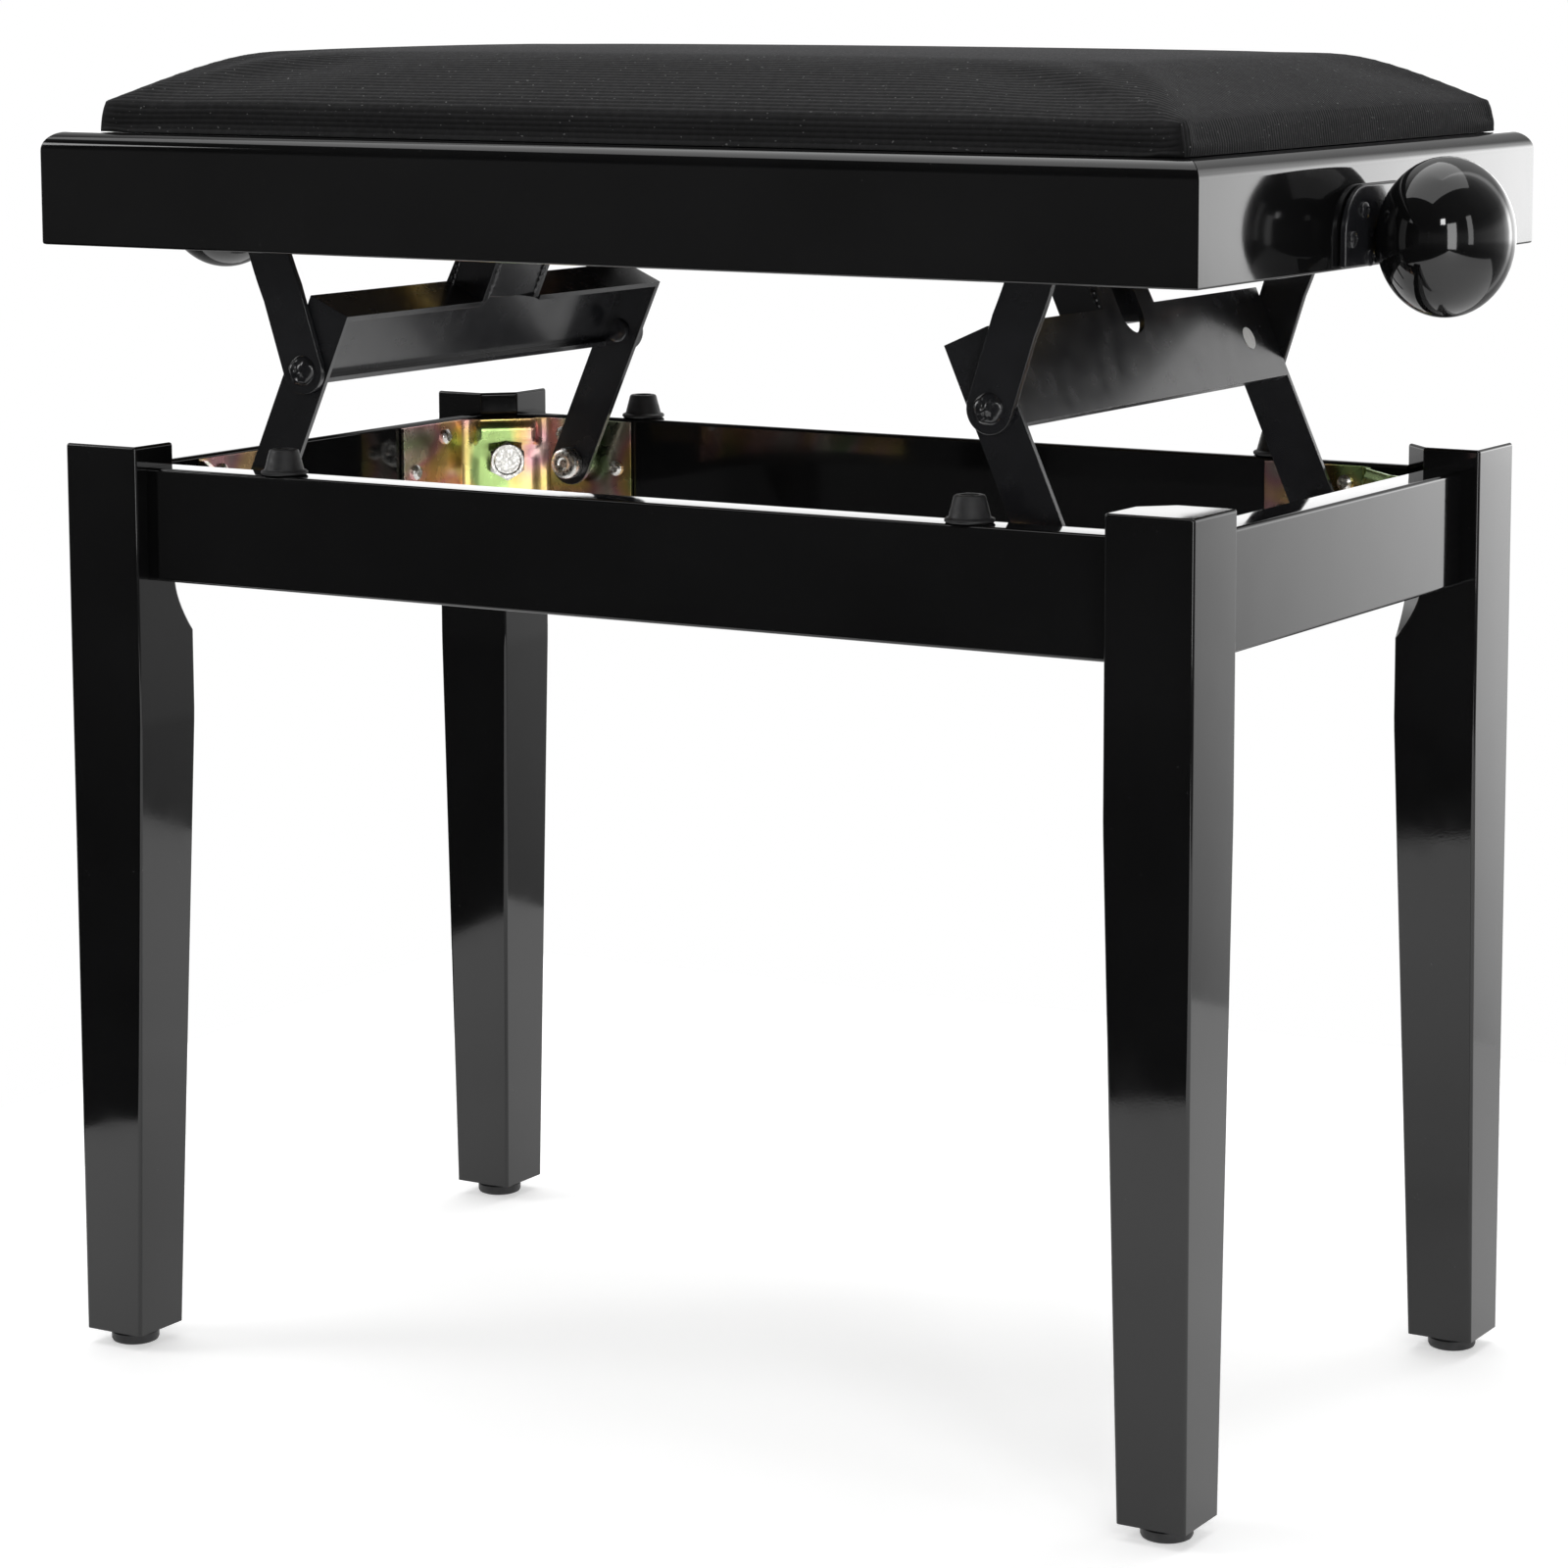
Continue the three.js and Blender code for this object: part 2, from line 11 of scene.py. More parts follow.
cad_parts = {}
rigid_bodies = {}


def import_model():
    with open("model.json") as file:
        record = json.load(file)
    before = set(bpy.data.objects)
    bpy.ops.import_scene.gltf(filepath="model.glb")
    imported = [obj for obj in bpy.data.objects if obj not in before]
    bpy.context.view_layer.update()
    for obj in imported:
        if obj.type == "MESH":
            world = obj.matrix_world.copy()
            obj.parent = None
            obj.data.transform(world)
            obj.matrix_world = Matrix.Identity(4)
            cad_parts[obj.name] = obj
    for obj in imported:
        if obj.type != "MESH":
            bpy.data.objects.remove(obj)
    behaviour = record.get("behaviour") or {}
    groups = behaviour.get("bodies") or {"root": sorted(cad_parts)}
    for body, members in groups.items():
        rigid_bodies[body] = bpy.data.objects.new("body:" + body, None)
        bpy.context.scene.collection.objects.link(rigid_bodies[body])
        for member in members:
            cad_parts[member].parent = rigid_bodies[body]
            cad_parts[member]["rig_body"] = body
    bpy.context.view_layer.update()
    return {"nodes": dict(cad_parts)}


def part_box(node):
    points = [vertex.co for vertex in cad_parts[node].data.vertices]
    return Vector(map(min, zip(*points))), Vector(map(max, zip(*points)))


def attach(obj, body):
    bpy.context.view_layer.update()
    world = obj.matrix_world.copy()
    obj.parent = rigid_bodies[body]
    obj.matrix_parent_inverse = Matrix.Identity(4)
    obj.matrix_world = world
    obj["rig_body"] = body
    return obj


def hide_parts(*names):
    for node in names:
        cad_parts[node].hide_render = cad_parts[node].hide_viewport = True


MM = 0.001
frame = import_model()
scene = bpy.context.scene

SIDES = {"left": -1, "right": 1}
ENDS = {"front": -1, "back": 1}
CORNERS = [(f"{end}_{side}", x, y) for end, y in ENDS.items() for side, x in SIDES.items()]


# ---- places, all from the frame
def box(node):
    """Lowest and highest corner of a CAD node, in millimetres."""
    low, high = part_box(node)
    return low / MM, high / MM


def centre(node):
    low, high = box(node)
    return (low + high) / 2


def span(node, axis):
    """How far a CAD node's near and far faces stand from the middle plane across an axis."""
    low, high = box(node)
    return sorted((abs(low[axis]), abs(high[axis])))


LOWER = centre("lower_pivot_back_left")
MIDDLE = centre("left_rivet_back")
UPPER = centre("upper_pivot_back_left")
NUT = centre("left_nut")
LINK_HALF = math.hypot(MIDDLE.x - LOWER.x, MIDDLE.z - LOWER.z)
LEAN = math.atan2(NUT.x - LOWER.x, NUT.z - LOWER.z)
FLANGE_OUTER = box("left_link")[1].y
ARM_OUTER = box("left_arm_back")[1].y
ARM_THICKNESS = 3.0
SHEET = 2.5


# ---- materials
def plug(links, socket, value):
    """Links an output to a socket, or gives the socket a plain value."""
    if isinstance(value, bpy.types.NodeSocket):
        links.new(value, socket)
    else:
        socket.default_value = value


def color_ramp(nodes, links, factor, stops):
    """A colour ramp; each stop is its place from 0 to 1 and its colour."""
    made = nodes.new("ShaderNodeValToRGB")
    elements = made.color_ramp.elements
    while len(elements) < len(stops):
        elements.new(0.5)
    for element, (position, color) in zip(elements, stops):
        element.position = position
        element.color = (*color, 1)
    links.new(factor, made.inputs["Fac"])
    return made.outputs["Color"]


class Paint:
    """A material in the making: its Principled shader, and short ways to add nodes to it."""

    def __init__(self, name, **values):
        self.material = bpy.data.materials.new(name)
        self.material.use_nodes = True
        self.nodes = self.material.node_tree.nodes
        self.links = self.material.node_tree.links
        self.shader = self.nodes["Principled BSDF"]
        for socket, value in values.items():
            self.shader.inputs[socket.replace("_", " ")].default_value = value
        self.place = self.nodes.new("ShaderNodeTexCoord").outputs["Object"]

    def node(self, kind, **values):
        made = self.nodes.new(kind)
        for name, value in values.items():
            setattr(made, name, value)
        return made

    def noise(self, size, detail=3.0, stretch=(1, 1, 1), distortion=0.0):
        """Noise whose features are about size millimetres across."""
        made = self.node("ShaderNodeTexNoise")
        made.inputs["Scale"].default_value = 1 / (size * MM)
        made.inputs["Detail"].default_value = detail
        made.inputs["Distortion"].default_value = distortion
        mapping = self.node("ShaderNodeMapping")
        mapping.inputs["Scale"].default_value = stretch
        self.links.new(self.place, mapping.inputs["Vector"])
        self.links.new(mapping.outputs["Vector"], made.inputs["Vector"])
        return made.outputs["Fac"]

    def level(self, factor, low, high, start=0.3, end=0.7):
        made = self.node("ShaderNodeMapRange")
        for name, value in (("From Min", start), ("From Max", end), ("To Min", low), ("To Max", high)):
            made.inputs[name].default_value = value
        self.links.new(factor, made.inputs["Value"])
        return made.outputs["Result"]

    def ramp(self, factor, *stops):
        return color_ramp(self.nodes, self.links, factor, stops)

    def mixed(self, factor, first, second, kind="MIX"):
        made = self.node("ShaderNodeMix", data_type="RGBA", blend_type=kind)
        for socket, value in (("Factor", factor), ("A", first), ("B", second)):
            plug(self.links, [s for s in made.inputs if s.name == socket and s.enabled][0], value)
        return [s for s in made.outputs if s.enabled][0]

    def color(self, output):
        self.links.new(output, self.shader.inputs["Base Color"])

    def roughness(self, output):
        self.links.new(output, self.shader.inputs["Roughness"])

    def bumps(self, *layers):
        """Each layer is a height and how tall it stands, in millimetres."""
        normal = None
        for height, tall in layers:
            made = self.node("ShaderNodeBump")
            made.inputs["Strength"].default_value = 1.0
            made.inputs["Distance"].default_value = tall * MM
            self.links.new(height, made.inputs["Height"])
            if normal:
                self.links.new(normal, made.inputs["Normal"])
            normal = made.outputs["Normal"]
        self.links.new(normal, self.shader.inputs["Normal"])


def grey(value):
    return (value, value, value * 1.04)


def lacquer_material():
    """Black high-gloss lacquer: faint waves, orange peel, polishing haze and a few dust nibs."""
    paint = Paint("gloss_lacquer", IOR=1.5, Coat_Weight=0.05, Coat_Roughness=0.02)
    dust = paint.noise(0.8, 0.0)
    body = paint.ramp(paint.noise(60, 4), (0.3, grey(0.0028)), (0.7, grey(0.0052)))
    nibs = paint.ramp(dust, (0.86, (0, 0, 0)), (0.89, (1, 1, 1)))
    paint.color(paint.mixed(nibs, body, (0.06, 0.06, 0.06, 1)))
    paint.roughness(paint.level(paint.noise(24, 6), 0.035, 0.085))
    paint.bumps((paint.noise(38, 1), 0.018), (paint.noise(1.6, 1), 0.0012), (dust, 0.0012))
    return paint.material


def black_steel_material():
    """Semi-gloss black paint on pressed steel, with orange peel and slightly uneven gloss."""
    paint = Paint("black_steel", IOR=1.5, Metallic=0.0, Coat_Weight=0.25, Coat_Roughness=0.12)
    dark, pale = (0.0085, 0.0087, 0.0100), (0.0125, 0.0128, 0.0148)
    paint.color(paint.ramp(paint.noise(14, 5), (0.3, dark), (0.72, pale)))
    paint.roughness(paint.level(paint.noise(12, 5), 0.20, 0.29))
    paint.bumps((paint.noise(30, 1), 0.02), (paint.noise(1.7, 1), 0.005))
    return paint.material


def zinc_material():
    """Yellow-passivated zinc: gold that drifts to green, pink and pale silver."""
    paint = Paint("zinc_plate", Metallic=1.0)
    drift = paint.noise(42, 1.2, distortion=0.8)
    color = paint.ramp(
        drift, (0.32, (0.42, 0.60, 0.22)), (0.40, (0.84, 0.64, 0.22)), (0.47, (0.97, 0.62, 0.32)),
        (0.53, (0.90, 0.47, 0.50)), (0.59, (0.97, 0.84, 0.74)), (0.68, (0.48, 0.64, 0.34)),
    )
    streaks = paint.ramp(paint.noise(3, 4, (1, 1, 0.2)), (0.35, (0.90, 0.89, 0.87)), (0.65, (1, 1, 1)))
    paint.color(paint.mixed(1.0, color, streaks, "MULTIPLY"))
    paint.roughness(paint.level(paint.noise(14, 3), 0.20, 0.32))
    paint.bumps((paint.noise(18, 1), 0.03), (paint.noise(0.7, 2), 0.003))
    return paint.material


def two_tone(name, size, dark, pale, gloss, bump, **values):
    """Gloss is its noise and its range of roughness; bump is its noise and its height."""
    paint = Paint(name, **values)
    paint.color(paint.ramp(paint.noise(size, 4), (0.3, dark), (0.7, pale)))
    paint.roughness(paint.level(paint.noise(*gloss[0]), *gloss[1]))
    paint.bumps((paint.noise(*bump[0]), bump[1]))
    return paint.material


def corduroy_material():
    """Black needlecord: valleys coloured darker as painted shade, soft pile on the ribs, a nap that drifts,
    and a little lint.
    """
    paint = Paint("corduroy", IOR=1.4, Sheen_Weight=0.07, Sheen_Roughness=0.4, Sheen_Tint=(0.9, 0.9, 0.95, 1))
    rib = paint.node("ShaderNodeAttribute", attribute_name="rib").outputs["Fac"]
    # painted shade: the valleys between the ribs are coloured far darker than the crests
    rib_tone_and_valley_shade = paint.ramp(rib, (0.05, (0.0016, 0.0016, 0.0018)), (0.95, (0.0100, 0.0100, 0.0106)))
    nap = paint.ramp(paint.noise(45, 3, (0.5, 1, 1)), (0.3, (0.72, 0.72, 0.72)), (0.7, (1.25, 1.25, 1.25)))
    cloth = paint.mixed(1.0, rib_tone_and_valley_shade, nap, "MULTIPLY")
    lint = paint.ramp(paint.noise(0.9, 0.0, (0.6, 1, 1)), (0.80, (0, 0, 0)), (0.84, (1, 1, 1)))
    paint.color(paint.mixed(lint, cloth, (0.12, 0.12, 0.12, 1)))
    paint.roughness(paint.level(paint.noise(3, 3), 0.82, 0.95))
    paint.bumps((paint.noise(0.55, 2, (0.5, 1, 1)), 0.12), (paint.noise(7, 2), 0.10))
    return paint.material


def plywood_material():
    paint = Paint("plywood", IOR=1.45)
    grain = paint.noise(7, 6, (0.06, 1, 1), 0.8)
    dark, brown, pale = (0.034, 0.023, 0.014), (0.052, 0.036, 0.022), (0.070, 0.050, 0.031)
    paint.color(paint.ramp(grain, (0.3, dark), (0.5, brown), (0.7, pale)))
    paint.roughness(paint.level(grain, 0.55, 0.75))
    paint.bumps((grain, 0.05), (paint.noise(0.5, 3), 0.02))
    return paint.material


LACQUER = lacquer_material()
STEEL = black_steel_material()
ZINC = zinc_material()
BRIGHT = two_tone("bright_steel", 3, (0.50, 0.49, 0.46), (0.78, 0.77, 0.74), ((1.2, 5), (0.16, 0.4)),
                  ((0.8, 3), 0.012), Metallic=1.0)
BRASS = two_tone("brass", 5, (0.50, 0.34, 0.09), (0.78, 0.58, 0.20),
                 ((1.5, 4, (0.15, 1, 1)), (0.18, 0.36)), ((0.8, 3, (0.1, 1, 1)), 0.006), Metallic=1.0)
RUBBER = two_tone("rubber", 4, (0.013, 0.013, 0.014), (0.026, 0.026, 0.027), ((2, 4), (0.42, 0.62)),
                  ((0.6, 3), 0.015), IOR=1.48)
CORDUROY = corduroy_material()
PLYWOOD = plywood_material()
PAPER = two_tone("paper", 2, (0.76, 0.76, 0.75), (0.84, 0.84, 0.83), ((1, 3), (0.5, 0.65)),
                 ((0.4, 3), 0.004), IOR=1.45)


# ---- making pieces
def transform(origin, x_axis, y_axis, z_axis):
    columns = [Vector(x_axis), Vector(y_axis), Vector(z_axis), Vector(origin)]
    return Matrix([[column[row] for column in columns] for row in range(3)] + [[0, 0, 0, 1]])


HALF_TURN = Matrix.Rotation(math.pi, 4, "Z")
AS_DRAWN = Matrix.Identity(4)


def added(name, data):
    """A new object in the scene."""
    made = bpy.data.objects.new(name, data)
    scene.collection.objects.link(made)
    return made


def mesh_of(name, points, faces):
    """A mesh from points in millimetres."""
    mesh = bpy.data.meshes.new(name)
    mesh.from_pydata([Vector(p) * MM for p in points], [], faces)
    return mesh


def piece(name, shape, material, body, replaces=(), matrix=AS_DRAWN, bevel=0.0, segments=2, smooth=35,
          fix=True, flatten=False):
    """A mesh object from (vertices, faces) in millimetres, riding on a body."""
    vertices, faces = shape
    mesh = mesh_of(name, [matrix @ Vector(v) for v in vertices], faces)
    bm = bmesh.new()
    bm.from_mesh(mesh)
    if fix:
        bmesh.ops.recalc_face_normals(bm, faces=bm.faces)
    elif matrix.determinant() < 0:
        bmesh.ops.reverse_faces(bm, faces=bm.faces)
    bm.to_mesh(mesh)
    bm.free()
    return finished(name, mesh, material, body, replaces, bevel, segments, smooth, flatten)


def finished(name, mesh, material, body, replaces=(), bevel=0.0, segments=2, smooth=35, flatten=False):
    """The mesh as an object in the scene, shaded, on its body, with the CAD nodes it replaces hidden."""
    mesh.shade_smooth()
    mesh.set_sharp_from_angle(angle=math.radians(smooth))
    made = added(name, mesh)
    made.data.materials.append(material)
    if bevel:
        add_bevel(made, bevel, segments)
    elif flatten:
        weighted = made.modifiers.new("even_normals", "WEIGHTED_NORMAL")
        weighted.keep_sharp = True
        weighted.weight = 100
    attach(made, body)
    if replaces:
        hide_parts(*replaces)
    return made


def add_bevel(made, width, segments=2, angle=40):
    modifier = made.modifiers.new("rounded_edges", "BEVEL")
    modifier.width = width * MM
    modifier.segments = segments
    modifier.limit_method = "ANGLE"
    modifier.angle_limit = math.radians(angle)
    modifier.harden_normals = True


def add_thickness(made, thickness, offset):
    modifier = made.modifiers.new("sheet_thickness", "SOLIDIFY")
    modifier.thickness = thickness * MM
    modifier.offset = offset
    modifier.use_even_offset = False
    modifier.use_quality_normals = True


def joined(*shapes):
    vertices, faces = [], []
    for more_vertices, more_faces in shapes:
        start = len(vertices)
        vertices += [tuple(v) for v in more_vertices]
        faces += [[start + i for i in face] for face in more_faces]
    return vertices, faces


def placed(shape, matrix):
    vertices, faces = shape
    moved = [tuple(matrix @ Vector(v)) for v in vertices]
    if matrix.determinant() < 0:
        faces = [list(reversed(face)) for face in faces]
    return moved, faces


def prism(outline, low, high):
    """A plate with the outline in its first two coordinates, from low to high in the third."""
    count = len(outline)
    vertices = [(a, b, low) for a, b in outline] + [(a, b, high) for a, b in outline]
    sides = [(i, (i + 1) % count, count + (i + 1) % count, count + i) for i in range(count)]
    return vertices, [tuple(reversed(range(count))), tuple(range(count, 2 * count)), *sides]


def loft(rows):
    """A solid through rows of points, capped at both ends."""
    count = len(rows[0])
    vertices = [point for row in rows for point in row]
    faces = [tuple(reversed(range(count)))]
    for k in range(len(rows) - 1):
        for i in range(count):
            j = (i + 1) % count
            faces.append((k * count + i, k * count + j, (k + 1) * count + j, (k + 1) * count + i))
    last = (len(rows) - 1) * count
    return vertices, [*faces, tuple(range(last, last + count))]


def turned(profile, steps=48, wobble=None):
    """A turned piece about the third axis; its profile is (radius, height) from the lower end up."""
    vertices, rings = [], []
    for radius, height in profile:
        count = 1 if radius < 1e-6 else steps
        rings.append(list(range(len(vertices), len(vertices) + count)))
        for i in range(count):
            angle = 2 * math.pi * i / steps
            lift = wobble(angle, radius, height) if wobble else 0.0
            vertices.append((radius * math.cos(angle), radius * math.sin(angle), height + lift))
    faces = []
    for lower, upper in zip(rings, rings[1:]):
        for i in range(steps):
            quad = [lower[i % len(lower)], lower[(i + 1) % len(lower)]]
            quad += [upper[(i + 1) % len(upper)], upper[i % len(upper)]]
            faces.append([v for n, v in enumerate(quad) if v not in quad[:n]])
    return vertices, [face for face in faces if len(face) > 2]


def angles_round(steps):
    return [2 * math.pi * i / steps for i in range(steps)]


def arc(centre_point, radius, start, end, steps):
    """Points on an arc, with its angles in degrees."""
    angles = [math.radians(start + (end - start) * i / steps) for i in range(steps + 1)]
    return [(centre_point[0] + radius * math.cos(a), centre_point[1] + radius * math.sin(a)) for a in angles]


def bezier(a, b, c, steps):
    """Points on the curve from a to c that b pulls towards itself."""
    points = []
    for i in range(steps + 1):
        t = i / steps
        points.append(tuple((1 - t) ** 2 * a[k] + 2 * t * (1 - t) * b[k] + t * t * c[k] for k in (0, 1)))
    return points


def smoothstep(value, start, end):
    t = min(max((value - start) / (end - start), 0.0), 1.0)
    return t * t * (3 - 2 * t)


def filleted(points, radius, steps=4):
    """A convex outline, run anticlockwise, with its corners rounded."""
    rounded = []
    for before, corner, after in zip(points[-1:] + points[:-1], points, points[1:] + points[:1]):
        into = (Vector(corner) - Vector(before)).normalized()
        out = (Vector(after) - Vector(corner)).normalized()
        turn = math.atan2(into.x * out.y - into.y * out.x, into.dot(out))
        back = radius * math.tan(turn / 2)
        start = Vector(corner) - into * back
        middle = start + Vector((-into.y, into.x)) * radius
        first = math.atan2(start.y - middle.y, start.x - middle.x)
        for i in range(steps + 1):
            angle = first + turn * i / steps
            rounded.append((middle.x + radius * math.cos(angle), middle.y + radius * math.sin(angle)))
    return rounded


def inset(points, amount):
    """A convex outline, run anticlockwise, moved in by amount on every side."""
    lines = []
    for a, b in zip(points, points[1:] + points[:1]):
        along = (Vector(b) - Vector(a)).normalized()
        lines.append((Vector(a) + Vector((-along.y, along.x)) * amount, along))
    moved = []
    for (p, d), (q, e) in zip(lines[-1:] + lines[:-1], lines):
        t = ((q.x - p.x) * e.y - (q.y - p.y) * e.x) / (d.x * e.y - d.y * e.x)
        moved.append(tuple(p + d * t))
    return moved


def copied(node, name, material, body, bevel, segments=2):
    """The CAD node's own shape with its edges rounded."""
    mesh = frame["nodes"][node].data.copy()
    mesh.materials.clear()
    bm = bmesh.new()
    bm.from_mesh(mesh)
    bmesh.ops.remove_doubles(bm, verts=bm.verts, dist=1e-5)
    bmesh.ops.dissolve_limit(bm, angle_limit=math.radians(0.5), verts=bm.verts, edges=bm.edges)
    bm.to_mesh(mesh)
    bm.free()
    for layer in list(mesh.attributes):
        if layer.name in ("sharp_edge", "sharp_face", "custom_normal"):
            mesh.attributes.remove(layer)
    return finished(name, mesh, material, body, [node], bevel, segments)


# ---- legs and rails
LEG_EDGE = 1.5
LEG_CHAMFER = 12.5
CHAMFER_RUN_OUT = 25
TAPER_TOP = 281
FOOT = 30
FOOT_ROUND = 1.2
TOP_ROUND = 1.3
RAIL_EDGE = 1.6
RAIL_END = 20


def leg_rows(size, foot_z, top_z, rail_bottom):
    """Outlines up a leg, drawn with its outer corner at the origin."""
    sharp = 2 * math.tan(math.radians(22.5)) * LEG_EDGE / math.sqrt(2)
    rows = []

    def row(z, width, chamfer, shrink=0.0):
        outline = [(0, 0), (width, 0), (width, width - chamfer), (width - chamfer, width), (0, width)]
        rounded = filleted(inset(outline, shrink), LEG_EDGE - min(shrink, FOOT_ROUND))
        rows.append([(x, y, z) for x, y in rounded])

    for step in range(4):
        angle = math.radians(30 * step)
        drawn_in = FOOT_ROUND * (1 - math.cos(math.pi / 2 - angle)) * 0.9
        row(foot_z + FOOT_ROUND * (1 - math.sin(angle)), FOOT, sharp, drawn_in)
    row(TAPER_TOP - 3, size - 0.1, sharp)
    row(TAPER_TOP + 3, size, sharp)
    for step in range(9):
        t = step / 8
        z = rail_bottom - CHAMFER_RUN_OUT * (1 - t) ** 2 - 2 * 0.4 * CHAMFER_RUN_OUT * t * (1 - t)
        row(z, size, sharp + (LEG_CHAMFER - sharp) * (1 - (1 - t) ** 2))
    for step in range(5):
        angle = math.radians(22.5 * step)
        drawn_in = TOP_ROUND * (1 - math.cos(angle))
        row(top_z - TOP_ROUND * (1 - math.sin(angle)), size, LEG_CHAMFER, drawn_in)
    return rows


def make_legs():
    rail_bottom = box("rail_front")[0].z
    for name, x, y in CORNERS:
        low, high = box(f"leg_{name}")
        outer = Vector((low.x if x < 0 else high.x, low.y if y < 0 else high.y, 0))
        place = transform(outer, (-x, 0, 0), (0, -y, 0), (0, 0, 1))
        rows = leg_rows(high.x - low.x, low.z, high.z, rail_bottom)
        piece(f"leg.{name}", loft(rows), LACQUER, "base", [f"leg_{name}"], place, smooth=50, flatten=True)


def make_rails():
    for node in (*ENDS, *SIDES):
        low, high = box(f"rail_{node}")
        along, across = (0, 1) if node in ENDS else (1, 0)
        near, far = low[across], high[across]
        outline = filleted([(near, low.z), (far, low.z), (far, high.z), (near, high.z)], RAIL_EDGE)
        rows = []
        for at in (low[along], low[along] + RAIL_END, high[along] - RAIL_END, high[along]):
            rows.append([(at, side, z) if along == 0 else (side, at, z) for side, z in outline])
        piece(f"rail.{node}", loft(rows), LACQUER, "base", [f"rail_{node}"], flatten=True)


# ---- small turned pieces
# the mushroomed head's profile: radius, and height above its underside
RIVET_HEAD = [(4, 0), (6.3, 0), (6.5, 0.5), (6.1, 1.2), (5.2, 1.9), (4.2, 2.4), (3.2, 2.2), (2.3, 2.6),
              (1.1, 3.0), (0, 2.4)]


def make_glides_and_bumpers():
    for name, _, _ in CORNERS:
        (low, high), at = box(f"glide_{name}"), centre(f"glide_{name}")
        r, h = (high.x - low.x) / 2, high.z
        profile = [(0, 0.9), (5, 0.9), (5.6, 0), (r - 1.6, 0), (r - 0.5, 0.5), (r, 1.6), (r, h - 2.2),
                   (r - 0.6, h - 1.8), (r - 0.6, h), (0, h)]
        piece(f"glide.{name}", turned(profile), RUBBER, "base", [f"glide_{name}"],
              Matrix.Translation((at.x, at.y, 0)), bevel=0.15)

        (low, high), at = box(f"bumper_{name}"), centre(f"bumper_{name}")
        h = high.z - low.z
        profile = [(0, 0), (9.6, 0), (10, 0.4), (10, 1.1), (9.5, 1.6), (8.6, 1.9), (8.3, 2.4),
                   (6.35, h - 0.9), (5.9, h - 0.2), (5.3, h), (3.9, h), (3.5, h - 0.4), (3.2, 4), (0, 4)]
        piece(f"bumper.{name}", turned(profile), RUBBER, "base", [f"bumper_{name}"],
              Matrix.Translation((at.x, at.y, low.z)), bevel=0.12)


def axis_y(pivot, x, y):
    """A turned piece's axis along Y, away from the middle plane, at one corner's copy of a pivot."""
    return transform((x * abs(pivot.x), 0, pivot.z), (0, 0, 1), (y, 0, 0), (0, y, 0))


def make_pivots():
    """Lower pins with their heads inside the links, upper pins, and the mushroomed middle rivets."""
    flange_in, flange_out = FLANGE_OUTER - SHEET - 0.3, FLANGE_OUTER + 0.3
    for name, x, y in CORNERS:
        node = f"lower_pivot_{name}"
        inner, outer = span(node, 1)
        profile = [(0, inner + 1.2), (2.2, inner + 1.2), (3.0, inner + 0.4), (5.4, inner), (6.6, inner + 0.5),
                   (7.2, inner + 1.6), (7.4, inner + 2.6), (7.4, flange_in), (4, flange_in), (4, flange_out),
                   (7, flange_out), (7, outer - 2.6), (4, outer - 2.6), (4, outer), (0, outer)]
        piece(f"lower_pivot.{name}", turned(profile, 40), BRIGHT, "base", [node], axis_y(LOWER, x, y),
              bevel=0.15)

        node = f"upper_pivot_{name}"
        inner, outer = span(node, 1)
        profile = [(0, inner), (6.4, inner), (7, inner + 0.6), (7, inner + 3), (4, inner + 3),
                   (4, outer - 4.2), (7, outer - 4.2), (7, outer - 0.9), (6.2, outer), (0, outer)]
        piece(f"upper_pivot.{name}", turned(profile, 40), BRIGHT, "seat", [node], axis_y(UPPER, x, y),
              bevel=0.15)

        end, side = name.split("_")
        node = f"{side}_rivet_{end}"
        inner, outer = span(node, 1)
        head = outer - 3.2
        profile = [(0, inner), (4.6, inner), (5.4, inner + 0.5), (5.6, inner + 2.1), (4, inner + 2.1)]
        profile += [(radius, head + rise) for radius, rise in RIVET_HEAD]

        def hammered(angle, radius, height, head=head):
            if height <= head or radius < 1:
                return 0.0
            dents = 0.2 * noise.noise((angle * 2, radius, 3.1))
            return 0.28 * math.cos(5 * angle + radius) * min(1.0, radius / 4) - dents

        piece(f"rivet.{name}", turned(profile, 40, hammered), STEEL, frame["nodes"][node]["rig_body"],
              [node], axis_y(MIDDLE, x, y), smooth=40)


# ---- links
PAN_TOP = 101.0
PAN_HALF = 10.5
TAB_TOP = 113.0
LUG_INNER, LUG_OUTER = 18.0, 22.0


def weld_bead(start, end, radius, seed):
    """A short uneven weld along a line."""
    start, end = Vector(start), Vector(end)
    along = (end - start).normalized()
    across = along.orthogonal().normalized()
    third = along.cross(across)
    rows = []
    steps, around = 22, 10
    for k in range(steps + 1):
        t = k / steps
        ripple = 1 + 0.22 * math.sin(k * 1.9 + seed) + 0.3 * noise.noise((k * 0.7, seed, 0.3))
        size = radius * ripple * math.sin(math.pi * min(max(t, 0.03), 0.97)) ** 0.35
        point = start.lerp(end, t)
        row = []
        for a in angles_round(around):
            rough = 1 + 0.2 * noise.noise((a, t * 9, seed))
            row.append(tuple(point + (across * math.cos(a) + third * math.sin(a)) * size * rough))
        rows.append(row)
    return loft(rows)


def leaning(pivot, way):
    """A left link's or arm's own axes, standing on its pivot."""
    sine, cosine = way * math.sin(LEAN), math.cos(LEAN)
    return transform((pivot.x, 0, pivot.z), (cosine, 0, -sine), (0, 1, 0), (sine, 0, cosine))


